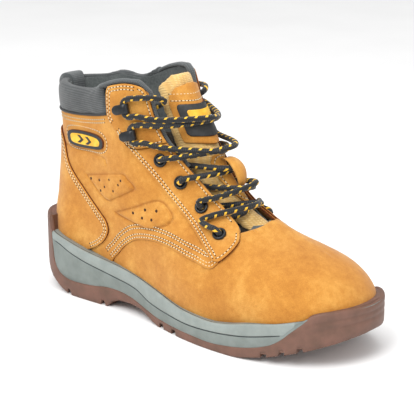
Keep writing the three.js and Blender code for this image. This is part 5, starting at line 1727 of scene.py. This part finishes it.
plan = closed_even(SOLE_PLAN, 1.3)
plan_way = unit(np.roll(plan, -1, axis=0) - np.roll(plan, 1, axis=0))
plan_out = np.stack([plan_way[:, 1], -plan_way[:, 0]], axis=-1)
plan_x = plan[:, 0]


def sole_ring(outset, z):
    flat = plan + plan_out * np.broadcast_to(outset, len(plan))[:, None]
    return np.stack([flat[:, 0] - TREAD_CENTRE_X, flat[:, 1], np.broadcast_to(z, len(plan))], axis=-1)


def wall(name, levels, materials, which, **others):
    """A closed band round the sole through rings of (outset, height)."""
    rings = [sole_ring(outset, z) for outset, z in levels]
    points, faces = loft(rings, closed=True)
    piece = make_piece(name, points, faces, materials, which.ravel(), **others)
    facing_out(piece)
    return piece


# %% Midsole
feather = FEATHER(plan_x)
rubber = np.minimum(RUBBER_TOP(plan_x), feather + 0.6)
shown = np.clip((feather - rubber) / 6, 0, 1)
groove = np.clip(GROOVE(plan_x), rubber + 1.5, feather - 1.5)
groove = np.where(feather - rubber > 4, groove, (feather + rubber) / 2)
has_groove = ramp(plan_x, -16, -8) * (1 - ramp(plan_x, 214, 226)) * shown
low = rubber - 1.5
top = np.maximum(feather, low + 1)
belly = (low + groove) / 2
levels = [
    (-0.2, low), (0.1, low + 0.4 * (belly - low)), (0.35 * shown, belly),
    (0.3 * shown, groove - 1.1), (0.15 * shown, groove - 0.45), (-0.7 * has_groove, groove - 0.12),
    (-0.7 * has_groove, groove + 0.12), (0.1 * shown, groove + 0.45), (0.25 * shown, groove + 1.2),
    (0.1, (groove + top) / 2), (-0.1, top - 1.4), (-0.5, top - 0.45), (-1.1, top),
    (-1.6, top + 0.1), (-2.8, top - 0.1), (-11, top - 0.6), (-11.5, top - 4),
    (-11.5, low + 1), (-3, low - 0.5),
]
# Finish 2 is painted shade: the groove, and a strip along the top where the upper goes in.
which = np.array([0, 0, 0, 0, 2, 2, 2, 1, 1, 1, 1, 1, 1, 2, 1, 0, 0, 0, 0])
which = np.repeat(which[:, None], len(plan), axis=1)
which[4:7] = np.where(has_groove > 0.3, which[4:7], 0)
which[7:13] = np.where((shown > 0.9) | (plan_x < 100), which[7:13], 0)
wall("midsole_wall", levels, [midsole_foam, midsole_light, groove_shade], which, slot="midsole",
     stands_for=("midsole",))

# %% Outsole wall and toe bumper
CHANNELS = [(x, side * 31, 44, 4.5, side * 1.25) for x in range(106, 246, 14) for side in (-1, 1)]
CHANNELS += [(x, side * 30, 34, 4.5, side * 1.35) for x in (2, 40) for side in (-1, 1)]


def in_channel(points):
    found = np.zeros(len(points), bool)
    for x, y, length, width, turn in CHANNELS:
        way = np.array([math.cos(turn), math.sin(turn)])
        offset = points - np.array([x, y])
        along, beside_it = np.abs(offset @ way), np.abs(offset @ np.array([-way[1], way[0]]))
        found |= (along < length / 2 + 1) & (beside_it < width / 2)
    return found


ground_line = GROUND(plan_x)
rim = np.maximum(RUBBER_TOP(plan_x), ground_line + 2)
bottom = ground_line + np.where(in_channel(plan), 4.0, 0.0)
bottom = np.minimum(bottom, rim - 0.8)
bumper = ramp(plan_x, 236, 247)


def up_wall(share):
    return bottom + (rim - bottom) * share


ridges = [0.0, 0.06, 0.16, 0.3, 0.44, 0.5, 0.56, 0.68, 0.74, 0.8, 0.9, 0.97]
push = [-0.5, 0.35, 0.55, 0.6, 0.6, -0.1, 0.6, 0.6, -0.1, 0.6, 0.6, 0.3]
levels = []
for share, out in zip(ridges, push):
    out = 0.55 + (out - 0.55) * np.where(0.3 < share < 0.9, bumper, 1)
    levels.append((out, up_wall(share)))
levels += [(-0.4, rim), (-2.5, rim), (-3.2, rim - 1.2), (-3.2, bottom + 0.6), (-2.5, bottom)]
wall("outsole_wall", levels, [gum_rubber], np.zeros((len(levels), len(plan)), int), slot="outsole")
print("sole wall columns:", len(plan))

# %% [markdown]
# ## Parts of the frame that stay
# The tread, the steel toecap and shank, the boards and the aglets keep their frame shapes,
# which are plain by nature. Each gets its own finish in the slots of its object.

# %% Finishes for frame parts
KEPT = {
    "outsole": gum_rubber, "shank": steel, "steel_toecap": steel, "toecap_edge_strip": foam_cells,
    "insole_board": board_fibre, "footbed": footbed_cloth, "heel_counter": board_fibre,
    "aglet_lateral": black_metal, "aglet_medial": black_metal,
}
for node, material in KEPT.items():
    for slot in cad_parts[node].material_slots:
        slot.material = material

paper = Finish("studio_floor", 0.9, Specular_IOR_Level=0.1)
paper.colour(paper.colours(paper.noise(220), (0.3, "#F4F4F4"), (0.7, "#F8F8F8")))
floor.data.materials.append(paper.material)
